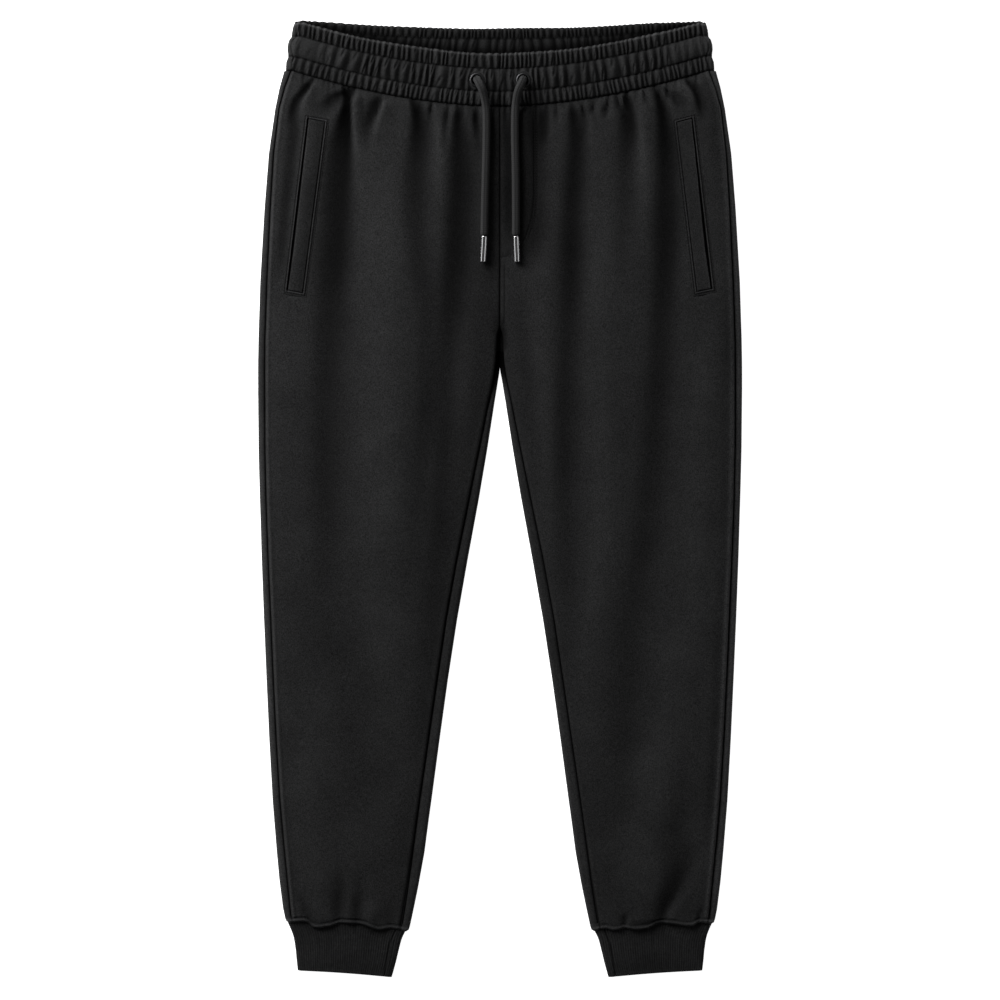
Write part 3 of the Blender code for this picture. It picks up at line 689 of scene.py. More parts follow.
leg = {
    "cloth": 2.0, "frontColumns": 132, "backColumns": 120, "frontRows": 300, "backRows": 190,
    "waist": 460.4, "waistPower": 1.8, "frontDrop": 38.4, "backDrop": 12.6, "waistFade": 280.0,
    "sideWaist": 224.0, "hem": -456.2, "hemSide": 224.0, "hemSlope": 0.065, "hemFade": -330.0,
    "hemRidge": 2.0, "hemWaveEnd": -400.0,
    # creases: gain along the leg and at the waist, the deepest trough, lean from the light, and their painted
    # shade
    "creaseGain": 1.45, "waistGain": 2.3, "deepest": 8.5, "lean": 0.8, "creaseShade": 0.1, "shadeRise": 0.7,
    # levels of the front at its seams, and how far from each its crown is reached
    "seamLevel": 10.4, "hipLevel": 12.2, "waistLevel": 11.4, "edge": 16.0, "innerRoll": 12.0,
    "sideRoll": {"left": 7.0, "right": 14.0},
    # seams: the proud edge beside them and the roll into them, at the side and between the legs
    "proud": 1.0, "innerProud": 0.3, "proudFrom": 3.0, "proudWidth": 2.3, "roll": 2.4, "hipRoll": 1.6,
    "innerSeamRoll": 1.2, "backRoll": 1.9, "rollWidth": 0.8, "waistRoll": 1.9, "drift": 0.22,
    # painted shade in the seams and a painted highlight on their raised edges, and painted shade on the
    # cloth's inside and cut rim
    "sideDark": 0.75, "innerDark": 0.6, "waistDark": 0.7, "edgeHighlight": {"left": 0.8, "right": 0.5},
    "insideShade": {"front": 0.3, "back": 0.2},
    # light along the left side's rim, and along both sides: a narrow band and a wide one
    "rimLight": (2.0, 0.3), "sideLight": {"left": (0.36, 9.0), "right": (0.14, 7.0)},
    "wideLight": (0.16, 40.0),
    # pressed sewing lines, the fly's lap and the room beneath a pocket
    "lineDepth": 0.5, "lineSpread": 0.2, "flyRise": 0.38, "pocketRoom": 3.2,
    # the inner edge of the fly's lap: height and place
    "fly": [(261, 0), (268, 14), (290, 30), (310, 36), (330, 37.4), (460, 37)], "flyFoot": 262,
    # how far down the cut some heights of the leg lie, between the waist at 0 and the hem at 1
    "frontShares": [(0.26, 380.0), (0.90, -425.0), (0.955, -446.0)],
    "backShares": [(0.12, 420.0), (0.89, -425.0), (0.95, -444.0)],
    # the back across: the turned edge, its fold, the underside, the inner fold and the inner edge
    "turns": [0.0, 0.035, 0.14, 0.86, 0.965, 1.0], "foldRadius": 4.5, "slotRadius": 2.0, "hipRadius": 1.1,
    "highestLift": 4.5, "lap": 0.7, "edgeWave": 0.35, "edgeLight": {"left": 0.8, "right": 0.35},
    "innerEdgeDark": 0.26,
    # the hem's rounded corners: height and width
    "outerCorner": (2.2, 2.6), "innerCorner": (2.0, 2.4),
    # height, outline, side seam, inner seam, inner outline, crown
    "rows": [(464, 231.6, 223.4, 0.0, 0.0, 14.6), (442, 237.7, 231.5, 0.0, 0.0, 15.2),
             (420, 242.3, 237.5, 0.0, 0.0, 15.6), (372, 249.1, 243.3, 0.0, 0.0, 15.8),
             (312, 253.9, 247.0, 0.0, 0.0, 15.6), (234, 258.4, 250.6, 0.0, 0.0, 15.6),
             (185, 259.9, 252.2, 0.0, 0.0, 15.6), (177, 260.2, 252.6, 2.8, 0.0, 15.6),
             (168, 260.4, 252.8, 3.4, 0.0, 15.6), (150, 260.7, 252.9, 4.3, 0.0, 15.6),
             (139, 260.8, 253.0, 5.6, 0.2, 15.6), (133, 260.8, 253.0, 6.6, 1.2, 15.6),
             (127, 260.8, 253.0, 7.7, 2.15, 15.5), (117, 260.8, 253.0, 9.8, 3.75, 15.5),
             (107, 260.7, 252.9, 12.0, 5.4, 15.4),
             (53, 260.2, 252.7, 22.7, 13.75, 15.0), (0, 258.8, 251.6, 33.5, 22.75, 14.6),
             (-65, 256.8, 249.3, 46.8, 34.75, 14.2), (-130, 254.4, 246.4, 58.6, 46.15, 13.8),
             (-195, 251.6, 243.7, 68.2, 56.15, 13.4), (-260, 248.6, 240.6, 77.6, 65.15, 13.2),
             (-325, 245.0, 236.6, 87.0, 73.85, 13.0), (-378, 240.8, 231.8, 94.6, 81.35, 12.8),
             (-411, 237.7, 228.6, 99.3, 88.0, 12.6), (-440, 233.8, 225.8, 104.2, 94.7, 12.4),
             (-466, 228.4, 222.6, 108.6, 100.6, 12.2)],
}
legTable = np.array(leg["rows"][::-1])

# creases of the front, drawn on the sheet from top to bottom: down, across, height over the
# cloth (below it in a trough), and its soft width to the left and to the right
frontCreases = [
    [(84, 350, -2.5, 5, 3), (96, 349, -6.0, 4.5, 2.0), (108, 348.5, -7.5, 5.0, 2.0),
     (125, 348.5, -7.2, 9, 2.4), (155, 345.5, -6.2, 15, 5), (190, 338, -5.4, 16, 9),
     (240, 329.5, -5.1, 16, 13), (290, 324, -4.8, 16, 15), (340, 320, -4.4, 16, 17), (400, 317, -3.8, 16, 19),
     (460, 316.5, -3.2, 16, 20), (530, 317, -2.5, 17, 20), (620, 319, -1.2, 17, 19), (690, 325, -0.6, 17, 19),
     (780, 335, 0, 17, 19)],
    [(82, 343.5, -3.6, 1.6, 1.6), (95, 345.5, -3.6, 2, 2), (104, 346.5, 0, 3, 2)],
    [(84, 355.5, -3.6, 2.4, 1.6), (92, 352.5, -2.8, 2.4, 1.6), (99, 351, 0, 2.4, 2)],
    [(88, 360, 0.5, 3, 9), (98, 355.5, 1.8, 2.6, 10), (112, 354, 1.8, 2.6, 12), (130, 355, 1.4, 4, 14),
     (170, 359, 0.5, 7, 14), (210, 361, 0, 8, 14)],
    [(92, 382, -0.8, 5, 1.6), (100, 380.5, -2.2, 7, 1.6), (110, 377, -2.4, 8, 2.0), (124, 371, -1.8, 8, 3.0),
     (145, 366, -0.8, 8, 5), (165, 363, 0, 8, 6)],
    [(94, 386, 0.5, 1.8, 7), (106, 383, 1.2, 2.4, 8), (122, 378, 0.9, 4, 9), (142, 374, 0, 6, 9)],
    [(97, 411, -2.2, 3, 5), (106, 415.5, -3.8, 3.5, 6), (122, 417.5, -3.8, 6, 8), (145, 414, -3.6, 10, 10),
     (175, 411, -3.2, 13, 11), (215, 409.5, -2.7, 14, 12), (260, 412, -2.2, 14, 13), (310, 421, -2.2, 14, 12),
     (380, 422, -2.0, 13, 12), (460, 418, -1.9, 13, 10), (550, 413, -0.8, 12, 10), (600, 411, 0, 12, 10)],
    [(100, 432, -0.9, 3, 1.8), (108, 431, -1.4, 3.4, 1.8), (122, 429, -0.9, 4, 2.5), (138, 428, 0, 4, 3)],
    [(104, 437, 0.5, 3, 6), (125, 438, 0.9, 4, 8), (170, 437, 0.7, 7, 8), (220, 436, 0, 8, 8)],
    [(102, 447, -0.9, 2.2, 2.5), (114, 446.5, -1.3, 2.8, 2.8), (135, 445, -0.7, 3.5, 3), (158, 444, 0, 4, 4)],
    [(104, 459, -1.8, 2.8, 4), (125, 457.5, -3.2, 6, 7), (150, 456, -4.3, 9, 12), (185, 454.5, -4.9, 11, 15),
     (230, 451, -5.0, 12, 14), (300, 444.5, -4.4, 13, 13), (360, 440, -3.7, 13, 12), (440, 437, -3.1, 14, 12),
     (520, 434, -2.5, 14, 13), (620, 430, -1.9, 15, 14), (700, 426, -1.1, 15, 15), (800, 421, 0, 15, 15)],
    [(103, 473.5, -2.0, 2.2, 2.2), (112, 475.5, -3.6, 3, 2.8), (124, 477, -3.0, 4.5, 3),
     (140, 478, -1.4, 5, 4), (165, 479, 0, 5, 4)],
    [(104, 463, -0.6, 2, 2), (112, 462, -1.0, 2.2, 2.2), (124, 461, 0, 3, 3)],
    [(106, 487, -0.9, 2.5, 2.5), (120, 489, -1.3, 4, 4), (180, 490, -1.0, 5, 5), (260, 491, -0.8, 5, 5),
     (330, 491, 0, 5, 5)],
    [(77, 313, -0.8, 3, 1.6), (84, 310, -2.8, 5, 1.6), (90, 306, -3.0, 5.5, 2.0), (96, 301, -2.6, 6, 2.6),
     (102, 296, -2.4, 5.5, 3.5), (113, 292, -1.5, 5, 4), (126, 290, 0, 6, 5)],
    [(79, 317, 0.5, 1.8, 5), (88, 311.5, 1.1, 2.2, 7), (97, 306, 1.1, 3, 8), (108, 301, 0.6, 4, 8),
     (122, 298, 0, 6, 8)],
    [(88, 345, 0, 5, 5), (93, 341, -1.8, 8, 5), (99, 333, -1.9, 10, 7), (105, 326, -1.7, 11, 8),
     (112, 321, -1.0, 9, 8), (122, 317, 0, 8, 8)],
    [(92, 298, 0, 6, 5), (108, 294, -1.6, 7, 5), (135, 293, -2.2, 8, 5), (165, 290, -2.6, 8, 5),
     (200, 286, -2.6, 8, 5), (250, 281, -2.2, 8, 5), (285, 277, 0, 7, 5)],
    [(130, 385, 0, 24, 24), (200, 372, 0.8, 26, 24), (330, 372, 2.2, 24, 24), (460, 374, 3.2, 26, 24),
     (560, 374, 3.0, 26, 24), (680, 378, 1.2, 26, 22), (780, 380, 0, 24, 20)],
    [(190, 470, 0, 26, 20), (280, 470, -1.6, 28, 24), (420, 462, -2.2, 34, 30), (560, 444, -1.8, 34, 30),
     (700, 428, -1.0, 30, 26), (800, 420, 0, 26, 24)],
    [(660, 312, 0, 24, 24), (740, 302, 1.6, 24, 26), (830, 302, 2.2, 22, 26), (890, 308, 1.6, 18, 22),
     (918, 312, 0.8, 14, 16)],
    [(640, 345, 0, 20, 20), (700, 340, -0.9, 22, 20), (780, 344, -0.9, 22, 20), (840, 340, 0, 20, 18)],
    [(100, 503, -1.2, 8, 8), (140, 504, -3.4, 9, 10), (220, 505, -3.4, 9, 10), (262, 505, 0, 8, 8)],
    [(104, 527, -1.4, 8, 8), (125, 528.5, -2.8, 9, 12), (180, 529, -3.0, 10, 13), (235, 529, -2.6, 10, 13),
     (275, 527, 0, 10, 10)],
    # over the gap between the legs
    [(312, 499.6, 0, 3, 3), (321, 499.6, -3.0, 4, 4), (329, 499.6, -7.0, 4.5, 4.5),
     (345, 499.6, -8.0, 4.5, 4.5)],
    [(103, 546, -1.4, 2.8, 2.6), (114, 546, -2.6, 5, 3), (130, 545, -2.2, 7, 3.4), (152, 544, 0, 7, 4)],
    [(102, 556, -0.9, 2.2, 2.2), (110, 556.5, -1.2, 2.6, 2.6), (124, 556, 0, 3, 3)],
    [(102, 571, -1.2, 3, 3), (112, 573, -2.8, 5, 5), (130, 575, -3.4, 8, 7), (160, 573, -3.6, 10, 9),
     (200, 569, -3.8, 11, 10), (250, 567, -3.9, 12, 11), (300, 565, -3.8, 12, 12), (360, 562, -3.5, 13, 13),
     (440, 560, -3.1, 14, 14), (530, 558, -2.4, 15, 15), (610, 556, -1.2, 16, 16), (680, 556, 0, 16, 16)],
    [(103, 581, -1.4, 2.4, 2.6), (112, 583.5, -2.2, 3, 3), (124, 584, -1.4, 4, 4), (142, 582, 0, 5, 5)],
    [(99, 594, -0.9, 2.2, 2.2), (107, 593, -1.3, 2.8, 2.4), (118, 591, 0, 3.2, 3)],
    [(99, 608, -0.8, 2.4, 2.4), (108, 606.5, -1.4, 3.2, 2.8), (120, 605, 0, 4, 3.5)],
    [(96, 617, -1.0, 2, 2.4), (103, 619, -1.7, 2.6, 2.4), (114, 622, 0, 3.4, 3)],
    [(91, 626, -1.8, 3, 2.2), (99, 629, -3.4, 4.5, 2.6), (110, 631.5, -4.3, 7, 2.8),
     (124, 632.5, -3.8, 9, 3.8), (138, 630, -2.8, 10, 6), (160, 624, -2.1, 11, 9),
     (195, 620, -1.5, 12, 11), (240, 617, -0.7, 12, 12), (300, 614, 0, 12, 12)],
    [(89, 644, -0.9, 2, 2), (96, 645.5, -1.5, 2.4, 2.4), (106, 648, 0, 3, 3)],
    [(90, 640, 0.3, 5, 5), (120, 641, 1.0, 5, 10), (170, 640, 1.0, 9, 10), (240, 638, 0, 10, 10)],
    [(86, 655, -2.0, 2.4, 4), (94, 658, -3.6, 3.0, 4), (104, 661, -4.2, 4.0, 4.5), (120, 663, -3.9, 6, 7),
     (150, 663, -4.2, 9, 10), (200, 662, -4.3, 12, 11), (260, 660, -4.2, 13, 12), (320, 657, -3.9, 14, 13),
     (380, 653, -3.4, 15, 14), (450, 647, -3.1, 16, 16), (530, 639, -2.4, 16, 16), (600, 628, -1.8, 17, 17),
     (680, 618, -1.5, 17, 17), (760, 615, -1.3, 17, 17), (850, 616, 0, 16, 16)],
    [(77, 685, -0.8, 1.6, 4), (83, 689.5, -2.4, 1.8, 6), (91, 695.5, -2.6, 2.2, 9), (101, 699, -1.8, 3, 10),
     (112, 702, -1.2, 4, 9), (124, 703, 0, 5, 9)],
    [(79, 681, 0.5, 7, 1.8), (88, 688, 1.2, 8, 2), (98, 693, 1.2, 8, 3), (110, 695, 0, 8, 4)],
    [(84, 658, 0, 3, 3), (92, 668, -1.4, 5, 5), (102, 677, -1.6, 6, 8), (110, 684, 0, 6, 8)],
    [(120, 594, 0, 12, 14), (200, 594, 0.4, 14, 16), (350, 598, 1.4, 16, 18), (550, 596, 2.0, 18, 20),
     (660, 580, 1.2, 18, 20), (760, 574, 0, 18, 20)],
    [(300, 705, 0, 16, 16), (380, 697, 1.6, 18, 18), (560, 686, 1.8, 20, 20), (700, 666, 2.0, 22, 20),
     (800, 650, 1.3, 22, 20), (880, 640, 0, 20, 18)],
    [(220, 536, 0, 10, 10), (310, 536, 0.4, 10, 12), (450, 538, 0.8, 10, 14), (560, 545, 0, 12, 16)],
    [(270, 512, 0, 9, 9), (330, 516, -1.0, 11, 11), (400, 522, -1.4, 12, 12), (480, 530, -0.9, 12, 12),
     (540, 538, 0, 12, 12)],
    [(74, 704, 0, 5, 5), (92, 712, -0.8, 6, 5), (140, 716, -0.9, 7, 6), (220, 720, 0, 8, 6)],
    [(740, 646, 0, 28, 22), (800, 644, 2.6, 30, 22), (850, 642, 3.6, 30, 20), (895, 640, 3.4, 26, 18),
     (918, 640, 2.0, 20, 16)],
    [(560, 700, 0, 18, 18), (640, 696, 1.6, 20, 18), (720, 694, 1.8, 22, 16), (800, 690, 1.4, 20, 14),
     (850, 690, 0, 18, 12)],
    # over the cuffs
    [(862, 334, 0, 7, 7), (885, 336, -1.4, 9, 8), (905, 336.5, -2.3, 8, 7), (922, 336, -1.6, 6, 6)],
    [(872, 357, 0, 6, 6), (893, 356.5, -1.2, 7, 7), (908, 356, -2.2, 7, 6), (922, 356, -1.5, 5, 5)],
    [(900, 368, 0, 6, 6), (912, 368, 1.3, 7, 7), (924, 368, 1.2, 6, 6)],
    [(890, 296, 0, 5, 5), (906, 302, -1.5, 5, 5), (922, 309.5, -1.9, 4, 5)],
    [(895, 386, 0, 6, 6), (910, 388, -1.0, 7, 6), (928, 390, -1.3, 5, 5)],
    [(840, 688, 0, 10, 10), (865, 680, -1.4, 12, 10), (885, 672, -2.4, 12, 10), (900, 666, -2.8, 11, 8),
     (912, 662, -2.8, 8, 6), (922, 661, -1.8, 7, 5)],
    [(912, 625, 0, 3, 3), (920, 624.5, -1.6, 3.4, 3.4), (927, 624.5, -1.0, 3, 3)],
    [(904, 704, 0, 4, 4), (912, 701, -1.6, 3.4, 4), (919, 699, -1.8, 3, 5), (925, 699, -1.0, 3, 5)],
]

# the middle of the hem's rolled ridge over the cuffs, on the sheet
hemPaths = {
    "left": [(588, 929.6), (594, 929.2), (598, 928.0), (602, 927.0), (606, 926.8), (610, 927.8), (614, 928.3),
             (618, 927.7), (622, 926.6), (626, 926.4), (630, 927.3), (635, 927.8), (640, 927.5), (645, 926.8),
             (650, 925.2), (654, 923.0), (658, 921.9), (663, 921.6), (668, 921.8), (673, 922.2), (678, 922.9),
             (683, 923.9), (688, 924.1), (692, 923.7), (695, 922.2), (698, 920.8), (703, 920.8), (708, 921.1),
             (712, 922.3), (718, 922.8)],
    "right": [(282, 921.6), (287.5, 920.8), (291, 920.7), (295, 920.0), (300, 919.7), (305, 919.9),
              (308, 921.2), (311, 924.2), (315, 925.7), (320, 925.9), (325, 925.0), (330, 924.3),
              (335, 922.6), (339, 921.5), (343, 921.2), (348, 921.4), (353, 921.8), (358, 922.2),
              (363, 922.9), (367, 924.0), (371, 926.0), (375, 927.4), (380, 928.0), (385, 927.0),
              (390, 926.6), (395, 927.2), (400, 928.0), (404, 929.3), (412, 930.0)],
}


def hemWave(sideName, x):
    # how far the hem lies above its straight line at each place
    rows = []
    for across, down in hemPaths[sideName]:
        px, py = onSheet(across, down, "hem")
        straight = leg["hem"] + leg["hemRidge"] + leg["hemSlope"] * (abs(px) - leg["hemSide"])
        rows.append((abs(px), py - straight))
    table = smoothTable(rows, 1.0)
    return np.interp(np.abs(x), table[:, 0], table[:, 1])


def hemWaveAt(sideName, x, base):
    # the wave dies out up the leg
    return hemWave(sideName, x) * (1.0 - smoothStep(base, leg["hem"] + 6.0, leg["hemWaveEnd"]))


def waistLine(x, drop):
    return drop * (1.0 - np.minimum(np.abs(x) / leg["sideWaist"], 1.0) ** leg["waistPower"])


def rowHeight(base, x, drop):
    # rows follow the waist at the top, run level at the thigh and follow the hem below
    waistShare = smoothStep(base, leg["waistFade"], leg["waist"])
    hemShare = 1.0 - smoothStep(base, leg["hem"], leg["hemFade"])
    tilt = leg["hemSlope"] * (np.abs(x) - readTable(legTable, leg["hem"], 2))
    return base - waistLine(x, drop) * waistShare + tilt * hemShare


def creaseHeight(creases, x, y):
    total = np.zeros_like(x)
    unit, past = sheets["cloth"]["unit"], 8.0
    for crease in creases:
        rows = []
        for down, across, height, left, right in crease:
            middle, level = onSheet(across, down)
            rows.append((level, middle, height, left * unit, right * unit))
        table = smoothTable(rows, 3.0)
        low, high = table[0, 0], table[-1, 0]
        inside = (y > low - past) & (y < high + past)
        if not inside.any():
            continue
        here, level = x[inside], y[inside]
        middle, height, left, right = (readTable(table, level, column) for column in range(1, 5))
        # its shaded wall is where the pattern puts it, so a wide crease lies farther from the light
        width = np.minimum(left, right)
        offset = here - middle - leg["lean"] * width * (1.0 - bell(width, 7.0))
        ends = smoothStep(level, low - past, low) * (1 - smoothStep(level, high, high + past))
        total[inside] += height * bell(offset, np.where(offset < 0, left, right)) * ends
    return total


# short uneven puckers that hang from the waist seam, each with a length, a share of the depth, a half width
# and a slant of its own between two values
gather = {
    "count": 38, "from": 4.0, "to": 214.0, "depth": 3.0, "spread": 22.0, "seeds": {"left": 11, "right": 23},
    "length": (12.0, 40.0), "share": (0.5, 1.0), "width": (1.2, 2.3), "slant": (-0.12, 0.12),
}


def smallGathers(seed):
    rng = random.Random(seed)
    rows = []
    for index in range(gather["count"]):
        place = mix(gather["from"], gather["to"], (index + rng.uniform(0.15, 0.85)) / gather["count"])
        rows.append((place, *(rng.uniform(*gather[key]) for key in ("length", "share", "width", "slant"))))
    return rows


gathers = {sideName: smallGathers(seed) for sideName, seed in gather["seeds"].items()}


def gatherHeight(sideName, x, waistDistance):
    total = np.zeros_like(x)
    for place, length, share, width, slant in gathers[sideName]:
        middle = place + slant * waistDistance
        fade = np.exp(-waistDistance / (length * 0.5))
        wide = width * (1 + waistDistance / gather["spread"])
        total -= gather["depth"] * share * bell(np.abs(x) - middle, wide) * fade
    return total


# sewn lines on the fronts, as points on the sheet
stitching = {
    "flyEdge": [(533.3, 106), (533.6, 140), (533.8, 180), (533.0, 205), (530.0, 222), (524.5, 238),
                (517.0, 249), (508.0, 255.0), (500.8, 256.8)],
    "flySecond": [(535.8, 106), (536.1, 140), (536.3, 180), (535.5, 206), (532.4, 224), (527.6, 237.5)],
    "middle": [(504.3, 264), (504.5, 285), (504.3, 305), (503.9, 322)],
}

# the pockets: a stitched line all round, a rolled ridge inside it and the welt inside that, whose outer edge
# stands open; distances run from the stitched line, the opening's half width from the top to the bottom
pocket = {
    "box": {"left": [(694.0, 114.6), (673.4, 119.8), (694.2, 294.2), (714.4, 290.2)],
            "right": [(305.0, 115.2), (327.4, 119.0), (304.5, 295.6), (283.6, 291.6)]},
    "reach": 2.3, "lift": 0.45, "rimDrop": 0.45, "contact": 2.8, "weltRise": 0.45,
    # stitched line, ridge and the welt's contact: place, height and its half width, tone and its half width;
    # the tones are painted shade in the line and at the contact and a painted highlight on the ridge
    "relief": [(0.0, -0.6, 0.65, -0.62, 0.75), (1.5, 0.35, 0.7, 0.4, 0.6), (2.8, -0.8, 0.45, -0.68, 0.55)],
    # painted shade, near black, in the opening, a painted highlight on the welt's lip beside it, and painted
    # shade across the welt
    "openingShares": (0.0, 0.4, 0.75, 1.0), "openingDepth": 2.6, "openingDark": 0.93, "openingLight": 0.3,
    "openingHalf": {"left": (0.5, 1.0, 1.45, 0.7), "right": (0.7, 1.0, 1.25, 0.7)},
    "weltShade": {"left": 0.95, "right": 0.62},
}


def reliefOf(rows, inside):
    # the height and the tone of ridges and pressed lines that run along an edge
    height = sum(rise * bell(inside - place, width) for place, rise, width, _, _ in rows)
    return height, sum(tone * bell(inside - place, width) for place, _, _, tone, width in rows)


def boxCorners(sideName):
    # outer top, inner top, inner bottom and outer bottom
    return [np.array(onSheet(across, down, "pocket")) for across, down in pocket["box"][sideName]]


def pocketPlace(sideName, x, y):
    # the distance inside the stitched line, below zero outside it; the distance inside its outer edge;
    # and the share of the way down
    corners = boxCorners(sideName)
    middle = sum(corners) / 4
    gaps = []
    for first, second in zip(corners, corners[1:] + corners[:1]):
        along = (second - first) / np.linalg.norm(second - first)
        normal = np.array([-along[1], along[0]])
        if (middle - first) @ normal < 0:
            normal = -normal
        gaps.append((x - first[0]) * normal[0] + (y - first[1]) * normal[1])
    share = gaps[0] / (gaps[0] + gaps[2])
    return np.minimum.reduce(gaps), gaps[3], share


def sheetLine(name, step=2.0):
    points = [onSheet(*point) for point in stitching[name]]
    return curveThrough(points, step)


def boxLine(sideName, step=2.0):
    corners = boxCorners(sideName)
    line = []
    for first, second in zip(corners, corners[1:] + corners[:1]):
        count = max(int(np.linalg.norm(second - first) / step), 1)
        line += [mix(first, second, index / count) for index in range(count)]
    return np.array(line + [corners[0]])


def distanceTo(line, x, y):
    # distance in the plane from each place to a line of points
    places = np.stack([x, y], axis=1)
    best = np.full(len(places), 1e9)
    low, high = line.min(axis=0) - 12, line.max(axis=0) + 12
    inside = np.all((places > low) & (places < high), axis=1)
    here = places[inside]
    near = np.full(len(here), 1e9)
    for first, second in zip(line, line[1:]):
        along = second - first
        t = np.clip(((here - first) @ along) / max(along @ along, 1e-9), 0.0, 1.0)
        near = np.minimum(near, np.linalg.norm(here - first - t[:, None] * along, axis=1))
    best[inside] = near
    return best


def sewnLines(sideName):
    return {name: sheetLine(name) for name in stitching} if sideName == "left" else {}


def creaseDepth(x, y):
    # how deep the creases get before the cloth beneath, and how deep they want to go
    gain = mix(leg["creaseGain"], leg["waistGain"], smoothStep(y, 350.0, 425.0))
    wanted = creaseHeight(frontCreases, x, y) * gain
    return np.where(wanted < 0, leg["deepest"] * np.tanh(wanted / leg["deepest"]), wanted), wanted


def frontBase(x, y):
    # the crown's height and the distances from the side seam and from the inner seam
    sideSeam, innerSeam, crown = (readTable(legTable, y, column) for column in (2, 3, 5))
    return crown, np.maximum(sideSeam - np.abs(x), 0.0), np.maximum(np.abs(x) - innerSeam, 0.0)


def seamEdge(distance, proud, roll):
    # the cloth beside a seam stands a little proud, then rolls into it
    raised = proud * bell(distance - leg["proudFrom"], leg["proudWidth"])
    return raised - roll * np.exp(-distance / leg["rollWidth"])


hem = {
    # the ridge and the stitched line: place, height and its half width, tone and its half width; the ridge's
    # tone is a painted highlight, the line's a painted shade
    "ridge": (leg["hemRidge"], 0.8, 1.5, 0.42, 1.5), "line": (4.9, -1.0, 1.0, -0.55, 1.0),
    "looseShare": 0.3, "gathered": (-1.5, 2.5), "fall": 2.2, "fallWidth": 0.8,
    # the row of small teeth along the line
    "teeth": 3.2, "teethTone": 0.12,
}


def hemRelief(sideName, x, hemDistance):
    # the rolled ridge, stitched down harder where the leg is gathered; its height, and its painted highlight
    # and shade
    gathered = mix(hem["looseShare"], 1.0, smoothStep(hemWave(sideName, x), *hem["gathered"]))
    ridgeHeight, ridgeTone = reliefOf([hem["ridge"]], hemDistance)
    lineHeight, lineTone = reliefOf([hem["line"]], hemDistance)
    teeth = np.sin(x * 2.1 + np.sin(x / 3.0)) * bell(hemDistance - hem["teeth"], 1.0)
    fall = hem["fall"] * np.exp(-hemDistance / hem["fallWidth"])
    return (ridgeHeight + gathered * lineHeight - fall,
            ridgeTone + gathered * lineTone + hem["teethTone"] * teeth)


def frontHeight(sideName, x, y, waistDistance, hemDistance, lines, plain=False):
    crown, toSide, toInner = frontBase(x, y)
    edge = smoothStep(np.minimum(toSide, toInner + leg["edge"]), 0.0, leg["edge"])
    z = crown + creaseDepth(x, y)[0] * edge
    z = mix(leg["seamLevel"], z, 1.0 - np.exp(-toSide / leg["sideRoll"][sideName]))
    middle = mix(leg["seamLevel"], leg["hipLevel"], smoothStep(y, 175.0, 230.0))
    z = mix(middle, z, 1.0 - np.exp(-toInner / leg["innerRoll"]))
    z = mix(leg["waistLevel"], z, smoothStep(waistDistance, -7.0, 13.0))
    z = z + gatherHeight(sideName, x, waistDistance) * edge
    # slow unevenness of soft cloth
    z = z + leg["drift"] * np.sin(x / 17.0 + 1.3 * np.sin(y / 61.0)) * np.sin(y / 43.0 + x / 90.0) * edge
    # seams at the side and in the middle, at the waist and at the hem
    sewn, low = smoothStep(hemDistance, 3.0, 6.5), smoothStep(y, 190.0, 150.0)
    z = z + seamEdge(toSide, leg["proud"], leg["roll"]) * sewn
    z = z + seamEdge(toInner, leg["innerProud"] * low, mix(leg["hipRoll"], leg["innerSeamRoll"], low)) * sewn
    z = z - leg["waistRoll"] * np.exp(-np.maximum(waistDistance, 0) / 1.3)
    z = z + hemRelief(sideName, x, hemDistance)[0]
    # pressed sewing lines
    gaps = {name: distanceTo(line, x, y) for name, line in lines.items()}
    for gap in gaps.values():
        z = z - leg["lineDepth"] * bell(gap, 0.7) - leg["lineSpread"] * bell(gap, 2.0)
    if gaps:
        inFly = (x < np.interp(y, *zip(*leg["fly"]))) & (y > leg["flyFoot"])
        z = z + leg["flyRise"] * inFly * smoothStep(gaps["flyEdge"], 0.0, 1.5)
    if not plain:
        # room beneath the pocket, whose own piece lies over it
        z = z - leg["pocketRoom"] * smoothStep(pocketPlace(sideName, x, y)[0], -1.5, 0.5)
    return z


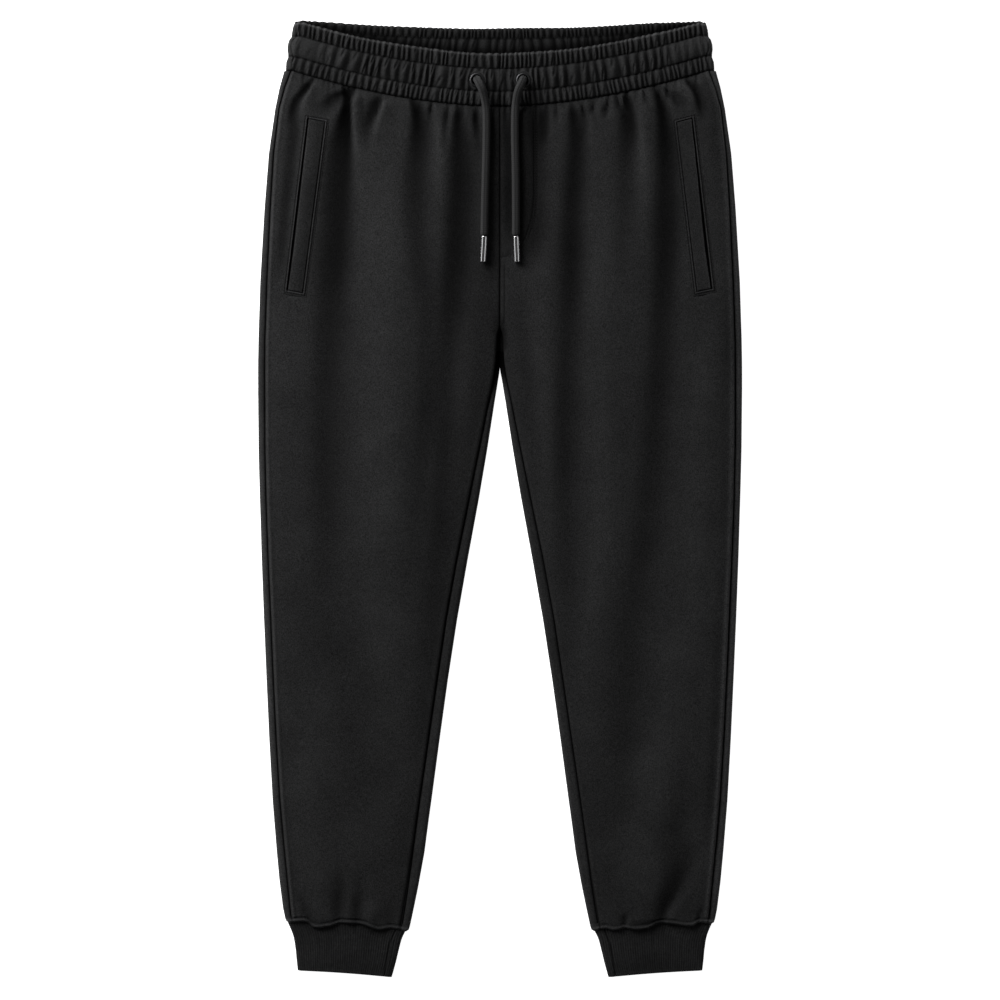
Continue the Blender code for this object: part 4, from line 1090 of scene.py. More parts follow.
def frontShade(sideName, x, y, waistDistance, hemDistance, lines):
    # painted shade where cloth meets cloth: in the seams and under the waistband
    _, toSide, toInner = frontBase(x, y)
    shade = 1.0 - leg["sideDark"] * np.exp(-toSide / 0.9) - leg["innerDark"] * np.exp(-toInner / 0.9)
    shade -= leg["waistDark"] * np.exp(-np.maximum(waistDistance, 0) / 1.2)
    # a painted highlight on the raised edges, and the hem's painted highlight and shade
    shade += leg["edgeHighlight"][sideName] * bell(toSide - 2.6, 1.6) + hemRelief(sideName, x, hemDistance)[1]
    # and painted shade in the creases and gathers, darker the deeper they are
    depth = creaseDepth(x, y)[1] + 0.8 * gatherHeight(sideName, x, waistDistance)
    deeper = 1.0 + leg["shadeRise"] * smoothStep(y, 180.0, 270.0) * (1.0 - 0.5 * smoothStep(y, 380.0, 425.0))
    shade *= np.exp(leg["creaseShade"] * deeper * np.clip(depth, -24.0, 1.0))
    # the side away from the key light is painted lighter, with a painted highlight along the left side's rim
    light, reach = leg["sideLight"][sideName]
    light = light * np.exp(-toSide / reach)
    if sideName == "left":
        (rim, below), (wide, wideReach) = leg["rimLight"], leg["wideLight"]
        shade += (rim * bell(toSide - 1.6, 0.8) + below * np.exp(-toSide / 0.9)) * smoothStep(y, 270.0, 400.0)
        shade *= 1.0 + light + wide * np.exp(-toSide / wideReach) * smoothStep(y, 200.0, 50.0)
    else:
        shade *= 1.0 + light * smoothStep(y, 250.0, 150.0)
    # painted shade in the pressed sewing lines
    lineDark = mix(0.15, 0.32, smoothStep(y, 280.0, 330.0))
    for line in lines.values():
        shade -= lineDark * bell(distanceTo(line, x, y), 0.75)
    return np.clip(shade, 0.04, 2.6)


def rowsDown(v, between):
    # from the share down the cut to the height on the leg
    return np.interp(v, *zip((0.0, leg["waist"]), *between, (1.0, leg["hem"])))


def frontMap(sideName, flat):
    # from the cut's own square to the leg: across, up, and the distances from the waist and from the hem
    u, base = flat[:, 0], rowsDown(flat[:, 1], leg["frontShares"])
    spread = mix(u, 0.5 - 0.5 * np.cos(math.pi * u), 0.55)
    inner, outer = readTable(legTable, base, 3) + 0.02, readTable(legTable, base, 2) - 0.15
    x = sides[sideName] * mix(inner, outer, spread)
    y = rowHeight(base, x, leg["frontDrop"]) + hemWaveAt(sideName, x, base)
    return x, y, leg["waist"] - base, base - leg["hem"]


def buildFront(sideName):
    lines = sewnLines(sideName)
    bm = cutSquare(leg["frontColumns"], leg["frontRows"])
    x, y, *_ = frontMap(sideName, vertexPlaces(bm))
    gaps = [np.abs(pocketPlace(sideName, x, y)[0])] + [distanceTo(line, x, y) for line in lines.values()]
    refine(bm, np.minimum.reduce(gaps) < 3.2)
    if lines:
        # the bend of the fly's stitching runs across the rows
        x, y, *_ = frontMap(sideName, vertexPlaces(bm))
        refine(bm, (distanceTo(lines["flyEdge"], x, y) < 3.0) & (y < 290.0), cuts=2)
    x, y, *distances = frontMap(sideName, vertexPlaces(bm))
    moveVertices(bm, np.stack([x, y, frontHeight(sideName, x, y, *distances, lines)], axis=1))
    shade = frontShade(sideName, x, y, *distances, lines)
    faceOut(bm)
    shade = thicken(bm, leg["cloth"], shade, leg["insideShade"]["front"])
    finishPiece(f"front_{sideName}", bm, "fleece", [f"front_leg_{sideName}"], shade=shade)


for sideName in sides:
    buildFront(sideName)
print("fronts ready")


# the backs, turned over at the leg's edges; their creases are drawn as the fronts' are, but the height is
# how far the cloth lifts off the ground
backCreases = [
    [(100, 300, 0, 8, 8), (150, 304, 2.4, 12, 10), (260, 309, 3.0, 14, 13), (420, 306, 2.2, 16, 14),
     (560, 300, 0, 16, 14)],
    [(110, 362, 0, 8, 8), (170, 360, 2.6, 10, 12), (300, 366, 2.8, 14, 14), (470, 372, 1.8, 16, 16),
     (600, 376, 0, 16, 16)],
    [(105, 428, 0, 7, 7), (150, 431, 2.0, 9, 8), (260, 437, 2.6, 12, 11), (360, 446, 2.2, 13, 12),
     (480, 440, 0, 14, 12)],
    [(330, 478, 0, 8, 12), (352, 455, 2.8, 10, 14), (378, 425, 2.0, 12, 14), (400, 396, 0, 12, 14)],
    [(560, 410, 0, 12, 12), (640, 400, 1.8, 14, 14), (740, 386, 1.6, 14, 14), (840, 372, 0, 12, 12)],
    [(700, 322, 0, 12, 12), (780, 326, 1.6, 14, 12), (880, 330, 1.2, 10, 10), (915, 331, 0, 8, 8)],
    [(100, 556, 0, 7, 7), (150, 560, 2.3, 10, 9), (280, 566, 2.8, 13, 12), (430, 560, 1.8, 15, 13),
     (540, 552, 0, 15, 13)],
    [(108, 628, 0, 8, 8), (160, 630, 2.7, 10, 12), (310, 634, 3.0, 13, 14), (480, 628, 2.0, 15, 16),
     (620, 620, 0, 16, 16)],
    [(104, 690, 0, 8, 8), (160, 694, 2.0, 10, 9), (290, 692, 2.4, 12, 12), (440, 694, 1.6, 14, 14),
     (560, 698, 0, 14, 14)],
    [(332, 522, 0, 12, 8), (356, 546, 2.6, 14, 10), (384, 578, 1.8, 14, 12), (404, 606, 0, 14, 12)],
    [(580, 590, 0, 12, 12), (670, 602, 1.8, 14, 14), (770, 616, 1.5, 14, 14), (860, 628, 0, 12, 12)],
    [(690, 676, 0, 12, 12), (780, 672, 1.5, 12, 14), (880, 668, 1.2, 10, 10), (915, 667, 0, 8, 8)],
    [(868, 352, 0, 7, 7), (898, 350, 1.8, 8, 7), (918, 349, 1.2, 6, 6)],
    [(868, 648, 0, 7, 7), (898, 650, 1.8, 8, 7), (918, 651, 1.2, 6, 6)],
]


def byPart(part, *values):
    # one value for each part of a piece's way round
    return np.select([part == index for index in range(len(values) - 1)], values[:-1], values[-1])


def backMap(sideName, flat):
    side, u = sides[sideName], flat[:, 0]
    base = rowsDown(flat[:, 1], leg["backShares"])
    hemDistance = base - leg["hem"]
    outline, sideSeam, innerSeam, innerOutline = (readTable(legTable, base, column) for column in range(1, 5))
    radius = leg["foldRadius"]
    slot = mix(radius, leg["slotRadius"], smoothStep(base, 95.0, 140.0))
    innerRadius = np.where(base > 178.0, leg["hipRadius"], slot)
    innerRadius = mix(innerRadius, leg["hipRadius"], smoothStep(base, 168.0, 186.0))
    # parts: 0 the turned edge, 1 its fold, 2 the underside, 3 the inner fold, 4 the inner edge
    starts = leg["turns"]
    part = np.clip(np.searchsorted(starts, u, side="right") - 1, 0, 4)
    t = (u - np.take(starts, part)) / (np.take(starts, part + 1) - np.take(starts, part))
    turn = math.pi * (0.5 - t)
    centre, innerCentre = outline - radius, innerOutline + innerRadius + 0.02
    end = np.maximum(innerSeam, 0.05)
    x = byPart(part, mix(sideSeam + 0.15, centre, t), centre + radius * np.cos(turn),
               mix(centre, innerCentre, t), innerCentre + innerRadius * np.cos(turn + math.pi),
               mix(innerCentre, end, t))
    z = byPart(part, 2 * radius + 0 * t, radius + radius * np.sin(turn), 0 * t,
               innerRadius - innerRadius * np.sin(turn), 2 * innerRadius)
    y = rowHeight(base, x, leg["backDrop"]) + hemWaveAt(sideName, x, base)
    # the hem's corners are rounded
    (outerRise, outerWidth), (innerRise, innerWidth) = leg["outerCorner"], leg["innerCorner"]
    corner = outerRise * bell(outline - x, outerWidth) * (part <= 1)
    corner = corner + innerRise * bell(x - innerOutline, innerWidth) * (part >= 3)
    y = y + corner * (1.0 - smoothStep(hemDistance, 0.0, 6.0))
    if side > 0:
        # the left back laps the right one along the middle seam
        x = x - leg["lap"] * (part >= 2) * smoothStep(base, 125.0, 150.0) * bell(np.maximum(x - 1.0, 0), 6.0)
    under = (part == 2) * smoothStep(np.minimum(centre - x, x - innerCentre), 0.0, 10.0)
    z = z + np.clip(creaseHeight(backCreases, side * x, y) * under, 0.0, leg["highestLift"])
    # both turned edges roll into the seams, and the hem's ridge runs on over them
    toSeam = np.where(part <= 1, x - sideSeam, end - x) * np.where((part == 0) | (part == 4), 1, 0)
    sewn = smoothStep(hemDistance, 3.0, 6.5)
    rolls = ((part == 0) | ((part == 4) & (base < 140.0))) * sewn
    z = z - leg["backRoll"] * np.exp(-np.maximum(toSeam, 0) / leg["rollWidth"]) * rolls
    hemHeight, hemTone = hemRelief(sideName, x, hemDistance)
    upper = smoothStep(z, 5.0, 8.0) * (part != 2)
    z = z + (np.maximum(hemHeight, -1.0) + 1.2 * (1.0 - sewn)) * upper
    z = z + leg["edgeWave"] * np.sin(y / 23.0 + 2.0 * np.sin(y / 71.0)) * (part <= 1) * (z > 3.0)
    # painted shade where the turned edges roll into the seams, and the hem's painted highlight and shade
    shade = 1.0 - 0.8 * np.exp(-np.maximum(toSeam, 0) / 1.1) * rolls + hemTone * upper
    # the side away from the key light is painted lighter, and the inner edges are painted darker as shade
    paintedLight = leg["edgeLight"][sideName] * (1.0 if side > 0 else smoothStep(y, 150.0, 0.0))
    shade = shade * (1.0 + paintedLight * (part <= 1))
    inner = (part >= 3) * smoothStep(y, 120.0, 60.0) * smoothStep(y, -300.0, -120.0)
    shade = shade * (1.0 - leg["innerEdgeDark"] * inner)
    # painted shade, near black, in the closed gap between the legs
    closed = (part >= 3) * smoothStep(base, 108.0, 146.0)
    shade = np.where(closed > 0, np.minimum(shade, mix(1.0, 0.03, closed)), shade)
    return np.stack([side * x, y, z], axis=1), np.clip(shade, 0.03, 2.0)


def buildBack(sideName):
    bm = cutSquare(leg["backColumns"], leg["backRows"])
    places, shade = backMap(sideName, vertexPlaces(bm))
    moveVertices(bm, places)
    faceOut(bm, lambda face: face.calc_center_median().z + abs(face.calc_center_median().y) * 0.001)
    shade = thicken(bm, leg["cloth"], shade, leg["insideShade"]["back"])
    finishPiece(f"back_{sideName}", bm, "fleeceBack", [f"back_leg_{sideName}"], shade=shade)


for sideName in sides:
    buildBack(sideName)
print("backs ready")


# the elastic waistband in two halves, each in three channels with uneven puckers

band = {
    "columns": 760, "topEdge": 516.2, "sideRound": 8.0, "finer": 8.5,
    "lineDark": 0.65, "seamDark": 0.5, "sideLight": 0.4, "sideLightWidth": 12.0, "sidePinch": (1.1, 5.5),
    # the rim: how far it rolls down, and how its puffs, its sink and its wave shape the top edge
    "rimRoll": 2.8, "rimPuff": 0.9, "rimSink": 0.7, "rimWave": 0.4,
    # the eyelets' pressed place and the hole below: height, start and end of the slope
    "pressed": (12.0, eyeletSizes["outer"], 11.0), "hole": (8.7, 4.9, 5.6),
    # the climb of the stitch lines towards the sides: curved and straight
    "climb": (0.035, 0.009),
    # each channel's pinches, from the low one up: depth, pitch and slant
    "pinch": (0.85, 0.78, 0.85), "pitch": (6.8, 10.0, 5.8), "slant": (0.22, 0.16, 0.10),
    # the pitch's factor at places across, and what the last one gains in the middle channel
    "pitchAcross": [(-230, 1.3), (-60, 1.0), (60, 0.95), (230, 1.0)], "middleGain": 0.15,
    "front": {"rows": 66, "lowDrop": leg["frontDrop"], "topDrop": 36.2, "floor": 6.6, "stitch": 9.9,
              "puffs": (13.4, 14.9, 13.9), "lines": (0.28, 0.70), "sewn": (0.28, 0.70), "corner": 3.2,
              "lowRoll": 1.2, "pinchDark": 0.72, "seeds": (5, 17, 31)},
    "back": {"rows": 34, "lowDrop": leg["backDrop"] - 1.2, "topDrop": 8.5, "floor": 0.05, "stitch": 3.6,
             "puffs": (6.0, 6.0, 6.2), "lines": (0.40, 0.80), "sewn": (0.80,), "corner": 1.7,
             "lowRoll": 0.6, "pinchDark": 0.9, "seeds": (8, 19, 37)},
    # half width up the side, bulging between the stitch lines
    "sideWidths": [(0.0, 230.7), (0.08, 230.6), (0.18, 230.2), (0.28, 228.2), (0.34, 228.3), (0.44, 228.9),
                   (0.54, 228.6), (0.64, 227.0), (0.70, 224.4), (0.76, 224.2), (0.86, 223.4), (0.93, 222.4),
                   (1.0, 220.6)],
}


def pinchPlaces(seed, channel):
    # uneven places where the elastic pinches the cloth: place, slant, bend, the next puff's size,
    # where it is folded in, and from above or from below
    rng = random.Random(seed)
    across, factors = (list(row) for row in zip(*band["pitchAcross"]))
    factors[-1] += band["middleGain"] * (channel == 1)
    places, x = [], -238.0
    while x < 238.0:
        gap = band["pitch"][channel] * rng.choice((0.6, 0.75, 0.9, 1.0, 1.15, 1.45))
        gap *= np.interp(x, across, factors)
        lean = -band["slant"][channel] * math.tanh(x / 60.0)
        places.append((x, lean + rng.uniform(-0.09, 0.09), rng.uniform(-0.012, 0.012),
                       min(1.0, 0.55 + 0.07 * gap) * rng.uniform(0.7, 1.0), rng.uniform(0.3, 0.7),
                       rng.choice((-1, 1)) * (gap > 6.0)))
        x += gap
    return places


def puffHeight(places, x, along):
    # 0 in a pinch and up to 1 on the rounded puff beside it
    total = np.zeros_like(x)
    for (start, slant, bend, size, fold, half), (end, nextSlant, nextBend, *_) in zip(places, places[1:]):
        left = start + slant * along + bend * along ** 2
        right = end + nextSlant * along + nextBend * along ** 2
        share = (x - left) / np.maximum(right - left, 0.8)
        inside = (share > 0) & (share < 1)
        w = share[inside] ** 0.88
        puff = size * (0.72 * np.sin(math.pi * w) ** 2 + 0.28 * np.sin(math.pi * w) ** 0.7)
        # a wide puff is folded in half way, from above or from below
        if half:
            reach = smoothStep(half * along[inside], -2.5, 4.5)
            puff = puff * (1.0 - 0.5 * bell(share[inside] - fold - 0.02 * along[inside], 0.13) * reach)
        total[inside] = np.maximum(total[inside], puff)
    return total


bandPinches = {half: [pinchPlaces(seed, channel) for channel, seed in enumerate(band[half]["seeds"])]
               for half in ("front", "back")}


def bandEdges(half, x):
    # the band's lower and upper edge over each place
    part = band[half]
    low = leg["waist"] + 0.1 - waistLine(x, part["lowDrop"])
    top = band["topEdge"] - waistLine(x, part["topDrop"])
    if half == "back":
        top = top + 0.6 * bell(np.abs(x) - 165.0, 35.0) - 0.7 * bell(np.abs(x) - 85.0, 45.0)
        top = top + 0.8 * bell(x - 94.0, 32.0)
    return low, top - part["corner"] * smoothStep(np.abs(x), 210.0, 222.0) ** 2


def halfWidthAt(share):
    return np.interp(share, *zip(*band["sideWidths"]))


def lineClimb(across, share):
    curved, straight = band["climb"]
    return (curved * np.abs(across) ** 3 + straight * across) * np.sin(math.pi * share)


def bandMap(half, flat):
    front, part = half == "front", band[half]
    lines, floor, stitch = part["lines"], part["floor"], part["stitch"]
    across, t = flat[:, 0] * 2.0 - 1.0, flat[:, 1]
    halfWidth = halfWidthAt(t)
    x = halfWidth * across + 0.7 * smoothStep(across, 0.8, 1.0) * smoothStep(t, 0.88, 1.0)
    low, top = bandEdges(half, x)
    level, height = mix(low, top, t), top - low
    # three channels between the stitch lines, each with its own puckers
    knots = [0.0, *lines, 1.0]
    warped = t - lineClimb(across, np.clip(t, 0, 1))
    channel = np.clip(np.searchsorted(knots, warped, side="right") - 1, 0, 2)
    start, end = np.take(knots, channel), np.take(knots, channel + 1)
    within = np.clip((warped - start) / (end - start), 0.0, 1.0)
    dome = np.clip(np.sin(math.pi * within), 0.0, 1.0) ** 0.5
    along = (within - 0.5) * (end - start) * height
    swell = np.zeros_like(x)
    for index, places in enumerate(bandPinches[half]):
        inside = channel == index
        swell[inside] = puffHeight(places, x[inside], along[inside])
    # the pinches are softer where the cloth turns over the side, and none are round the eyelets
    swell = mix(swell, 0.8, smoothStep(np.abs(across), 0.965, 1.0))
    swell = mix(swell, 0.85, 0.65 * (channel == 1) * smoothStep(np.abs(x), 165.0, 200.0))
    eyeletDistance = np.hypot(np.abs(x) - eyeletSizes["x"], level - eyeletSizes["y"])
    pressed = smoothStep(eyeletDistance, *band["pressed"][1:]) if front else 1.0
    swell = mix(0.9, swell, pressed)
    bulge = (np.take(part["puffs"], channel) - stitch) * dome
    z = stitch + bulge * (1.0 - np.take(band["pinch"], channel) * (1.0 - swell))
    z = z - 0.8 * (1.0 - swell) * (1.0 - dome)
    if front:
        z = mix(band["pressed"][0], z, pressed)
    edgeSwell = puffHeight(bandPinches[half][2], x, 0 * x)
    rim = band["rimPuff"] * edgeSwell - band["rimSink"] + band["rimWave"] * np.sin(x / 19.0)
    y = level + rim * smoothStep(t, 0.8, 1.0)
    z = z - band["rimRoll"] * smoothStep(t, 0.93, 1.0) ** 2
    z = z - part["lowRoll"] * (1 - smoothStep(t, 0.0, 0.05)) ** 2
    # a pinch runs up beside the fold at the side
    toSide, (depth, place) = halfWidth * (1.0 - np.abs(across)), band["sidePinch"]
    z = z - depth * bell(toSide - place - 1.5 * np.sin(t * 9.0), 0.9) * smoothStep(t, 0.04, 0.12)
    turnedShare = np.clip(1.0 - toSide / band["sideRound"], 0.0, 1.0)
    z = mix(floor + 0.8, z, np.sqrt(1.0 - turnedShare ** 2))
    # painted shade in the stitch lines, the lower seam and the pinches, painted light at the sides
    lineDistance = np.minimum(np.abs(warped - lines[0]), np.abs(warped - lines[1])) * height
    shade = 1.0 - band["lineDark"] * bell(lineDistance, 1.0) - band["seamDark"] * np.exp(-t * height / 0.9)
    shade = shade * (1.0 + band["sideLight"] * bell(toSide, band["sideLightWidth"]))
    shade = shade * (1.0 - part["pinchDark"] * np.clip(1.0 - swell, 0.0, 1.0) ** 1.2)
    if front:
        # a painted highlight on the rim, and painted shade in the middle seam and in the holes for the
        # eyelets
        shade = shade * (1.0 + 0.9 * bell(t - 0.968, 0.02)) + 0.25 * bell(t - 0.972, 0.014)
        hole = smoothStep(eyeletDistance, *band["hole"][1:])
        z = mix(band["hole"][0], z - 0.5 * bell(x, 0.8), hole)
        shade = (shade - 0.3 * bell(x, 0.7)) * mix(0.05, 1.0, hole)
    else:
        # the inside of the back half: painted shade in its middle seam, and a painted shadow by the front's
        # edge that darkens all of it
        z = z - 0.8 * bell(x, 0.9) * smoothStep(t, 0.5, 0.8)
        shadow = mix(0.12, 0.72, smoothStep(y - bandEdges("front", x)[1], 0.0, 11.0))
        shade = (shade - 0.3 * bell(x, 0.8)) * shadow
    return np.stack([x, y, np.maximum(z, floor + 0.4)], axis=1), np.clip(shade, 0.03, 1.9)


def buildBand(half):
    bm = cutSquare(band["columns"], band[half]["rows"])
    if half == "front":
        # finer round the eyelets
        places, _ = bandMap(half, vertexPlaces(bm))
        distance = np.hypot(np.abs(places[:, 0]) - eyeletSizes["x"], places[:, 1] - eyeletSizes["y"])
        refine(bm, distance < band["finer"])
    places, shade = bandMap(half, vertexPlaces(bm))
    moveVertices(bm, places)
    faceOut(bm)
    # the rim goes straight down to a flat underside
    count = len(bm.verts)
    made = bmesh.ops.extrude_edge_only(bm, edges=[edge for edge in bm.edges if edge.is_boundary])["geom"]
    for item in made:
        if isinstance(item, bmesh.types.BMVert):
            item.co.z = band[half]["floor"]
    rim = [item for item in made if isinstance(item, bmesh.types.BMEdge) and item.is_boundary]
    bmesh.ops.contextual_create(bm, geom=rim)
    # the rim and the underside in painted shade
    shade = np.concatenate([shade, np.full(len(bm.verts) - count, leg["insideShade"]["front"])])
    finishPiece(f"band_{half}", bm, "fleeceBand", [f"waistband_{half}"], shade=shade)


for half in ("back", "front"):
    buildBand(half)
print("waistband ready")


# rib cuffs: a flattened tube whose ribs run from the hem to the open end

cuff = {
    "ribs": 92, "cellsPerRib": 4, "rows": 36, "courses": 34.0, "ribHeight": 0.42, "ribDark": 0.60,
    "cloth": 1.9,
    # the length tucked under the hem, and its share of the visible length
    "tuck": 7.0, "tuckShare": 0.14,
    # share of the length, then the outer edge's place, the inner edge's place and the height
    "ends": [(0.0, 228.6, -456.5, 101.2, -464.2, 8.4), (0.2, 223.4, -468.5, 105.4, -472.5, 8.2),
             (0.5, 220.3, -484.0, 109.2, -486.0, 8.0), (0.78, 219.0, -497.2, 113.0, -501.5, 8.0),
             (1.0, 217.8, -508.0, 116.8, -515.2, 7.6)],
    "endBow": 0.8,
    # the seam down it: share of the length and distance from the middle
    "seam": [(0.0, 112.0), (0.35, 118.6), (1.0, 124.6)], "seamDepth": 0.7, "seamWidth": 0.9, "seamDark": 0.5,
    "gatherDepth": 0.55, "lip": 0.3,
}


def cuffMap(sideName, flat):
    side = sides[sideName]
    u, v = np.where(flat[:, 0] > 0.9999, 0.0, flat[:, 0]), flat[:, 1]
    past = v * (1 + cuff["tuckShare"]) - cuff["tuckShare"]
    share, tuck = np.maximum(past, 0.0), np.maximum(-past, 0.0) / cuff["tuckShare"] * cuff["tuck"]
    table = smoothTable(cuff["ends"], 0.02)
    outerX, outerY, innerX, innerY, height = (readTable(table, share, column) for column in range(1, 6))
    outerY, innerY = outerY + tuck, innerY + tuck
    width, radius = np.hypot(innerX - outerX, innerY - outerY), height / 2
    # round the tube: the upper side, the inner edge, the underside and the outer edge
    arc, flatLength = math.pi * radius, width - 2 * radius
    s = u * 2 * (flatLength + arc)
    ends = [flatLength, flatLength + arc, 2 * flatLength + arc]
    part = np.select([s < end for end in ends], [0, 1, 2], 3)
    t = np.clip(byPart(part, s / flatLength, (s - ends[0]) / arc, (s - ends[1]) / flatLength,
                       (s - ends[2]) / arc), 0.0, 1.0)
    swell = np.abs(np.sin(math.pi * cuff["ribs"] * u + 0.5 * np.sin(9.0 * v + 4.0 * math.pi * u))) ** 0.7
    reach = radius + cuff["ribHeight"] * (swell - 0.5) * (1 - 0.6 * smoothStep(v, 0.97, 1.0))
    turn = math.pi * (0.5 - t)
    distance = byPart(part, mix(radius, width - radius, t), width - radius + reach * np.cos(turn),
                      mix(width - radius, radius, t), radius - reach * np.cos(turn))
    up = byPart(part, radius + reach, radius + reach * np.sin(turn), radius - reach,
                radius - reach * np.sin(turn))
    x, y = mix(outerX, innerX, distance / width), mix(outerY, innerY, distance / width)
    y = y + cuff["endBow"] * np.sin(math.pi * distance / width) * smoothStep(v, 0.5, 1.0)
    # the seam down the cuff, soft waves where the leg is gathered on, and a lip at the end
    toSeam, top = x - np.interp(share, *zip(*cuff["seam"])), part == 0
    up = up - cuff["seamDepth"] * bell(toSeam, cuff["seamWidth"]) * top + 0.35 * bell(toSeam + 2.2, 1.5) * top
    up = up + cuff["gatherDepth"] * np.sin(x / 5.2 + side) * np.exp(-v * 5.0) * top
    up = up + cuff["lip"] * bell(v - 0.965, 0.02) * (part != 2)
    # painted shade in the seam and between the ribs, and a painted highlight along the end
    tone = 1.0 - cuff["seamDark"] * bell(toSeam, 0.8) * top
    tone = tone * mix(cuff["ribDark"], 1.0, swell) * (1.0 + 0.35 * bell(v - 0.985, 0.02))
    return np.stack([side * x, y, np.maximum(up, 0.0)], axis=1), np.clip(tone, 0.05, 1.0)


def buildCuff(sideName):
    bm = cutSquare(cuff["ribs"] * cuff["cellsPerRib"], cuff["rows"])
    layer = bm.loops.layers.uv.new("flat")
    for face in bm.faces:
        for loop in face.loops:
            loop[layer].uv = (loop.vert.co.x * cuff["ribs"], loop.vert.co.y * cuff["courses"])
    places, shade = cuffMap(sideName, vertexPlaces(bm))
    moveVertices(bm, places)
    tones = bm.verts.layers.float.new("shade")
    for vert, tone in zip(bm.verts, shade):
        vert[tones] = tone
    bmesh.ops.remove_doubles(bm, verts=bm.verts[:], dist=0.0005)
    faceOut(bm, lambda face: face.calc_center_median().z)
    bmesh.ops.solidify(bm, geom=bm.faces[:], thickness=cuff["cloth"])
    finishPiece(f"rib_{sideName}", bm, "rib", [f"cuff_{sideName}"])


for sideName in sides:
    buildCuff(sideName)
print("cuffs ready")


# pocket welts with their stitched border, each one piece laid over its front

welt = {"edgeCells": 21, "middleColumns": 7, "middleRows": 150, "edge": 6.3, "past": 2.3, "cloth": 1.0}


def frontAt(sideName, x, y, shaded=False):
    # the front's own height and shade at a place, without its pocket
    base = y + 0.0
    for _ in range(4):
        base = base + (y - rowHeight(base, x, leg["frontDrop"]))
    given = sideName, x, y, leg["waist"] - base, base - leg["hem"], sewnLines(sideName)
    z = frontHeight(*given, plain=True)
    return (z, frontShade(*given)) if shaded else z


def weltSpread(share, middle, span):
    # an even share to a distance: small cells near both edges and wider ones between
    cells = welt["edgeCells"]
    start = -pocket["reach"]
    return np.interp(share * (2 * cells + middle), [0, cells, cells + middle, 2 * cells + middle],
                     [start, start + welt["edge"] + welt["past"], span - welt["edge"], span - start])


def pocketRelief(sideName, inside, toOuter, share):
    # height over the front's cloth, and its painted shade and highlight, from the stitched line inwards
    half = np.interp(share, pocket["openingShares"], pocket["openingHalf"][sideName])
    middle = pocket["contact"] + half * 0.6
    ends = smoothStep(share, 0.0, 0.02) * (1 - smoothStep(share, 0.975, 0.995))
    gap = np.exp(-((toOuter - middle) / half) ** 4) * ends
    height, tone = reliefOf(pocket["relief"], inside)
    height = height + pocket["lift"] * smoothStep(inside, -2.1, -0.5) - pocket["openingDepth"] * gap
    height = height - pocket["rimDrop"] * (1 - smoothStep(inside, -2.3, -1.6))
    height = height + pocket["weltRise"] * smoothStep(inside, 2.8, 4.0)
    # a painted highlight on the welt's lip, painted shade in the opening and across the welt
    tone = 1.0 + tone + pocket["openingLight"] * bell(toOuter - middle - half - 0.9, 0.7)
    rolled = smoothStep(toOuter, 5.0, 17.0) * smoothStep(inside, 2.6, 3.4)
    return height, tone * (1.0 - pocket["openingDark"] * gap) * mix(1.0, pocket["weltShade"][sideName], rolled)


def buildWelt(sideName):
    outerTop, innerTop, innerLow, outerLow = boxCorners(sideName)
    span = (np.linalg.norm(innerTop - outerTop) + np.linalg.norm(innerLow - outerLow)) / 2
    length = (np.linalg.norm(outerLow - outerTop) + np.linalg.norm(innerLow - innerTop)) / 2
    bm = cutSquare(2 * welt["edgeCells"] + welt["middleColumns"], 2 * welt["edgeCells"] + welt["middleRows"])
    flat = vertexPlaces(bm)
    u = (weltSpread(flat[:, 0], welt["middleColumns"], span) / span)[:, None]
    v = (weltSpread(flat[:, 1], welt["middleRows"], length) / length)[:, None]
    x, y = mix(mix(outerTop, innerTop, u), mix(outerLow, innerLow, u), v).T
    z, shade = frontAt(sideName, x, y, shaded=True)
    height, tone = pocketRelief(sideName, *pocketPlace(sideName, x, y))
    moveVertices(bm, np.stack([x, y, z + height], axis=1))
    faceOut(bm)
    shade = thicken(bm, welt["cloth"], np.clip(shade * tone, 0.04, 1.8), leg["insideShade"]["back"])
    finishPiece(f"welt_{sideName}", bm, "fleece", [f"pocket_welt_{sideName}"], shade=shade)


for sideName in sides:
    buildWelt(sideName)
print("welts ready")


# sewing thread: small stitches pressed into the lines

thread = {"pitch": 3.0, "length": 1.05, "width": 0.34, "thickness": 0.8, "sink": 0.12, "lookAhead": 0.4}


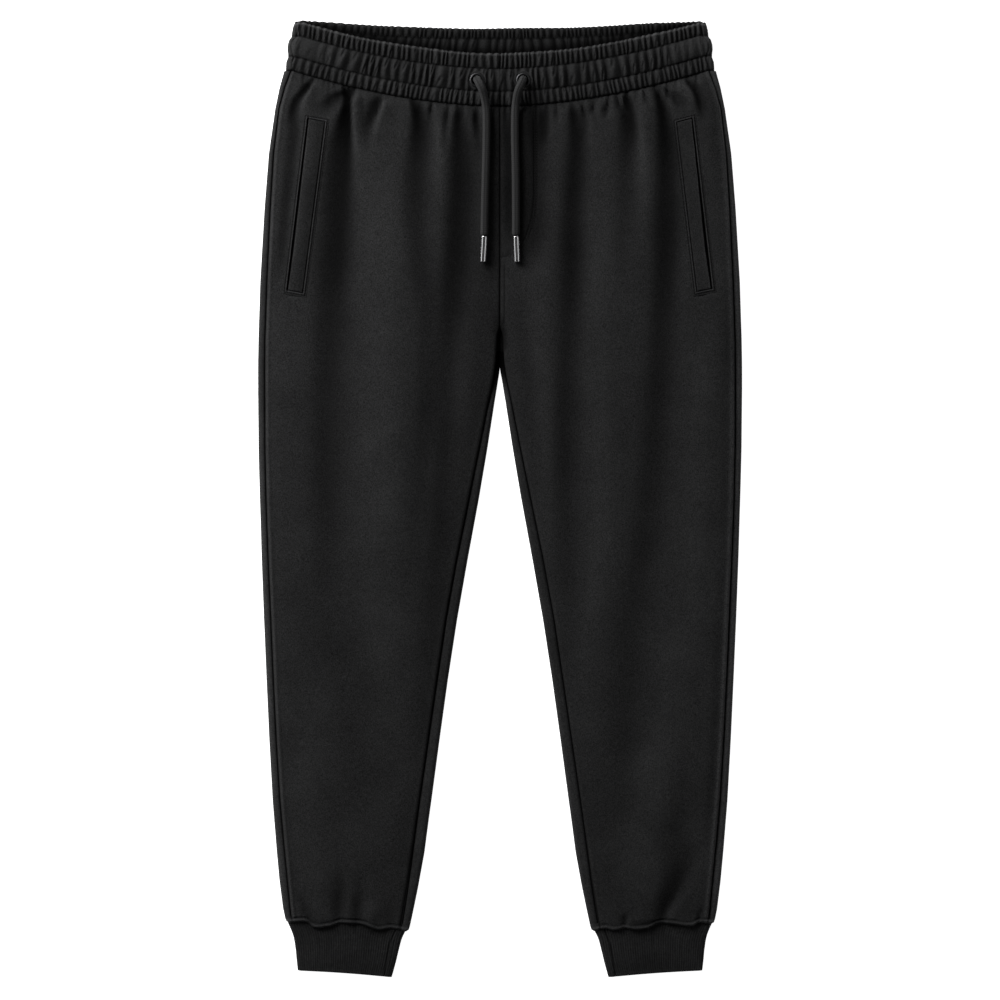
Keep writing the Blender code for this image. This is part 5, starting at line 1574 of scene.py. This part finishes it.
def addStitches(bm, line, heightAt):
    line = np.asarray(line)
    lengths = np.concatenate([[0.0], np.cumsum(np.linalg.norm(np.diff(line, axis=0), axis=1))])

    def placeAt(travelled):
        return np.array([np.interp(travelled, lengths, line[:, k]) for k in (0, 1)])

    wanted = np.arange(thread["pitch"] / 2, lengths[-1], thread["pitch"])
    x, y = placeAt(wanted)
    alongX, alongY = placeAt(wanted + thread["lookAhead"]) - placeAt(wanted - thread["lookAhead"])
    z = heightAt(x, y)
    rise = (heightAt(x + alongX, y + alongY) - heightAt(x - alongX, y - alongY)) / 2
    width = thread["width"]
    size = Matrix.Diagonal((width, thread["length"], width * thread["thickness"], 1.0))
    for place in zip(alongX, alongY, rise, x, y, z + thread["sink"]):
        heading = Vector(place[:3]).normalized()
        turn = heading.to_track_quat("Y", "Z").to_matrix().to_4x4()
        matrix = Matrix.Translation(place[3:]) @ turn @ size
        bmesh.ops.create_uvsphere(bm, u_segments=6, v_segments=4, radius=1.0, matrix=matrix)


def buildFrontStitches(sideName):
    bm = bmesh.new()
    for line in sewnLines(sideName).values():
        addStitches(bm, line, lambda x, y: frontAt(sideName, x, y))
    addStitches(bm, boxLine(sideName), lambda x, y: frontAt(sideName, x, y) + pocket["lift"] - 0.4)
    finishPiece(f"stitches_{sideName}", bm, "thread", sharp=180)


def bandHeightAt(half, x, y):
    # the waistband's height at a place, read off its own map
    low, top = bandEdges(half, x)
    t = (y - low) / (top - low)
    across = np.clip(x / halfWidthAt(t), -1, 1)
    places, _ = bandMap(half, np.stack([across / 2 + 0.5, t, 0 * t], axis=1))
    return places[:, 2]


def bandLine(half, share):
    x = np.linspace(-leg["sideWaist"], leg["sideWaist"], 240)
    low, top = bandEdges(half, x)
    return np.stack([x, mix(low, top, share + lineClimb(x / halfWidthAt(share), share))], axis=1)


def buildBandStitches(half):
    bm = bmesh.new()
    for share in band[half]["sewn"]:
        addStitches(bm, bandLine(half, share), lambda x, y: bandHeightAt(half, x, y))
    finishPiece(f"stitches_band_{half}", bm, "thread", sharp=180)


for sideName in sides:
    buildFrontStitches(sideName)
for half in ("front", "back"):
    buildBandStitches(half)
print("stitches ready")
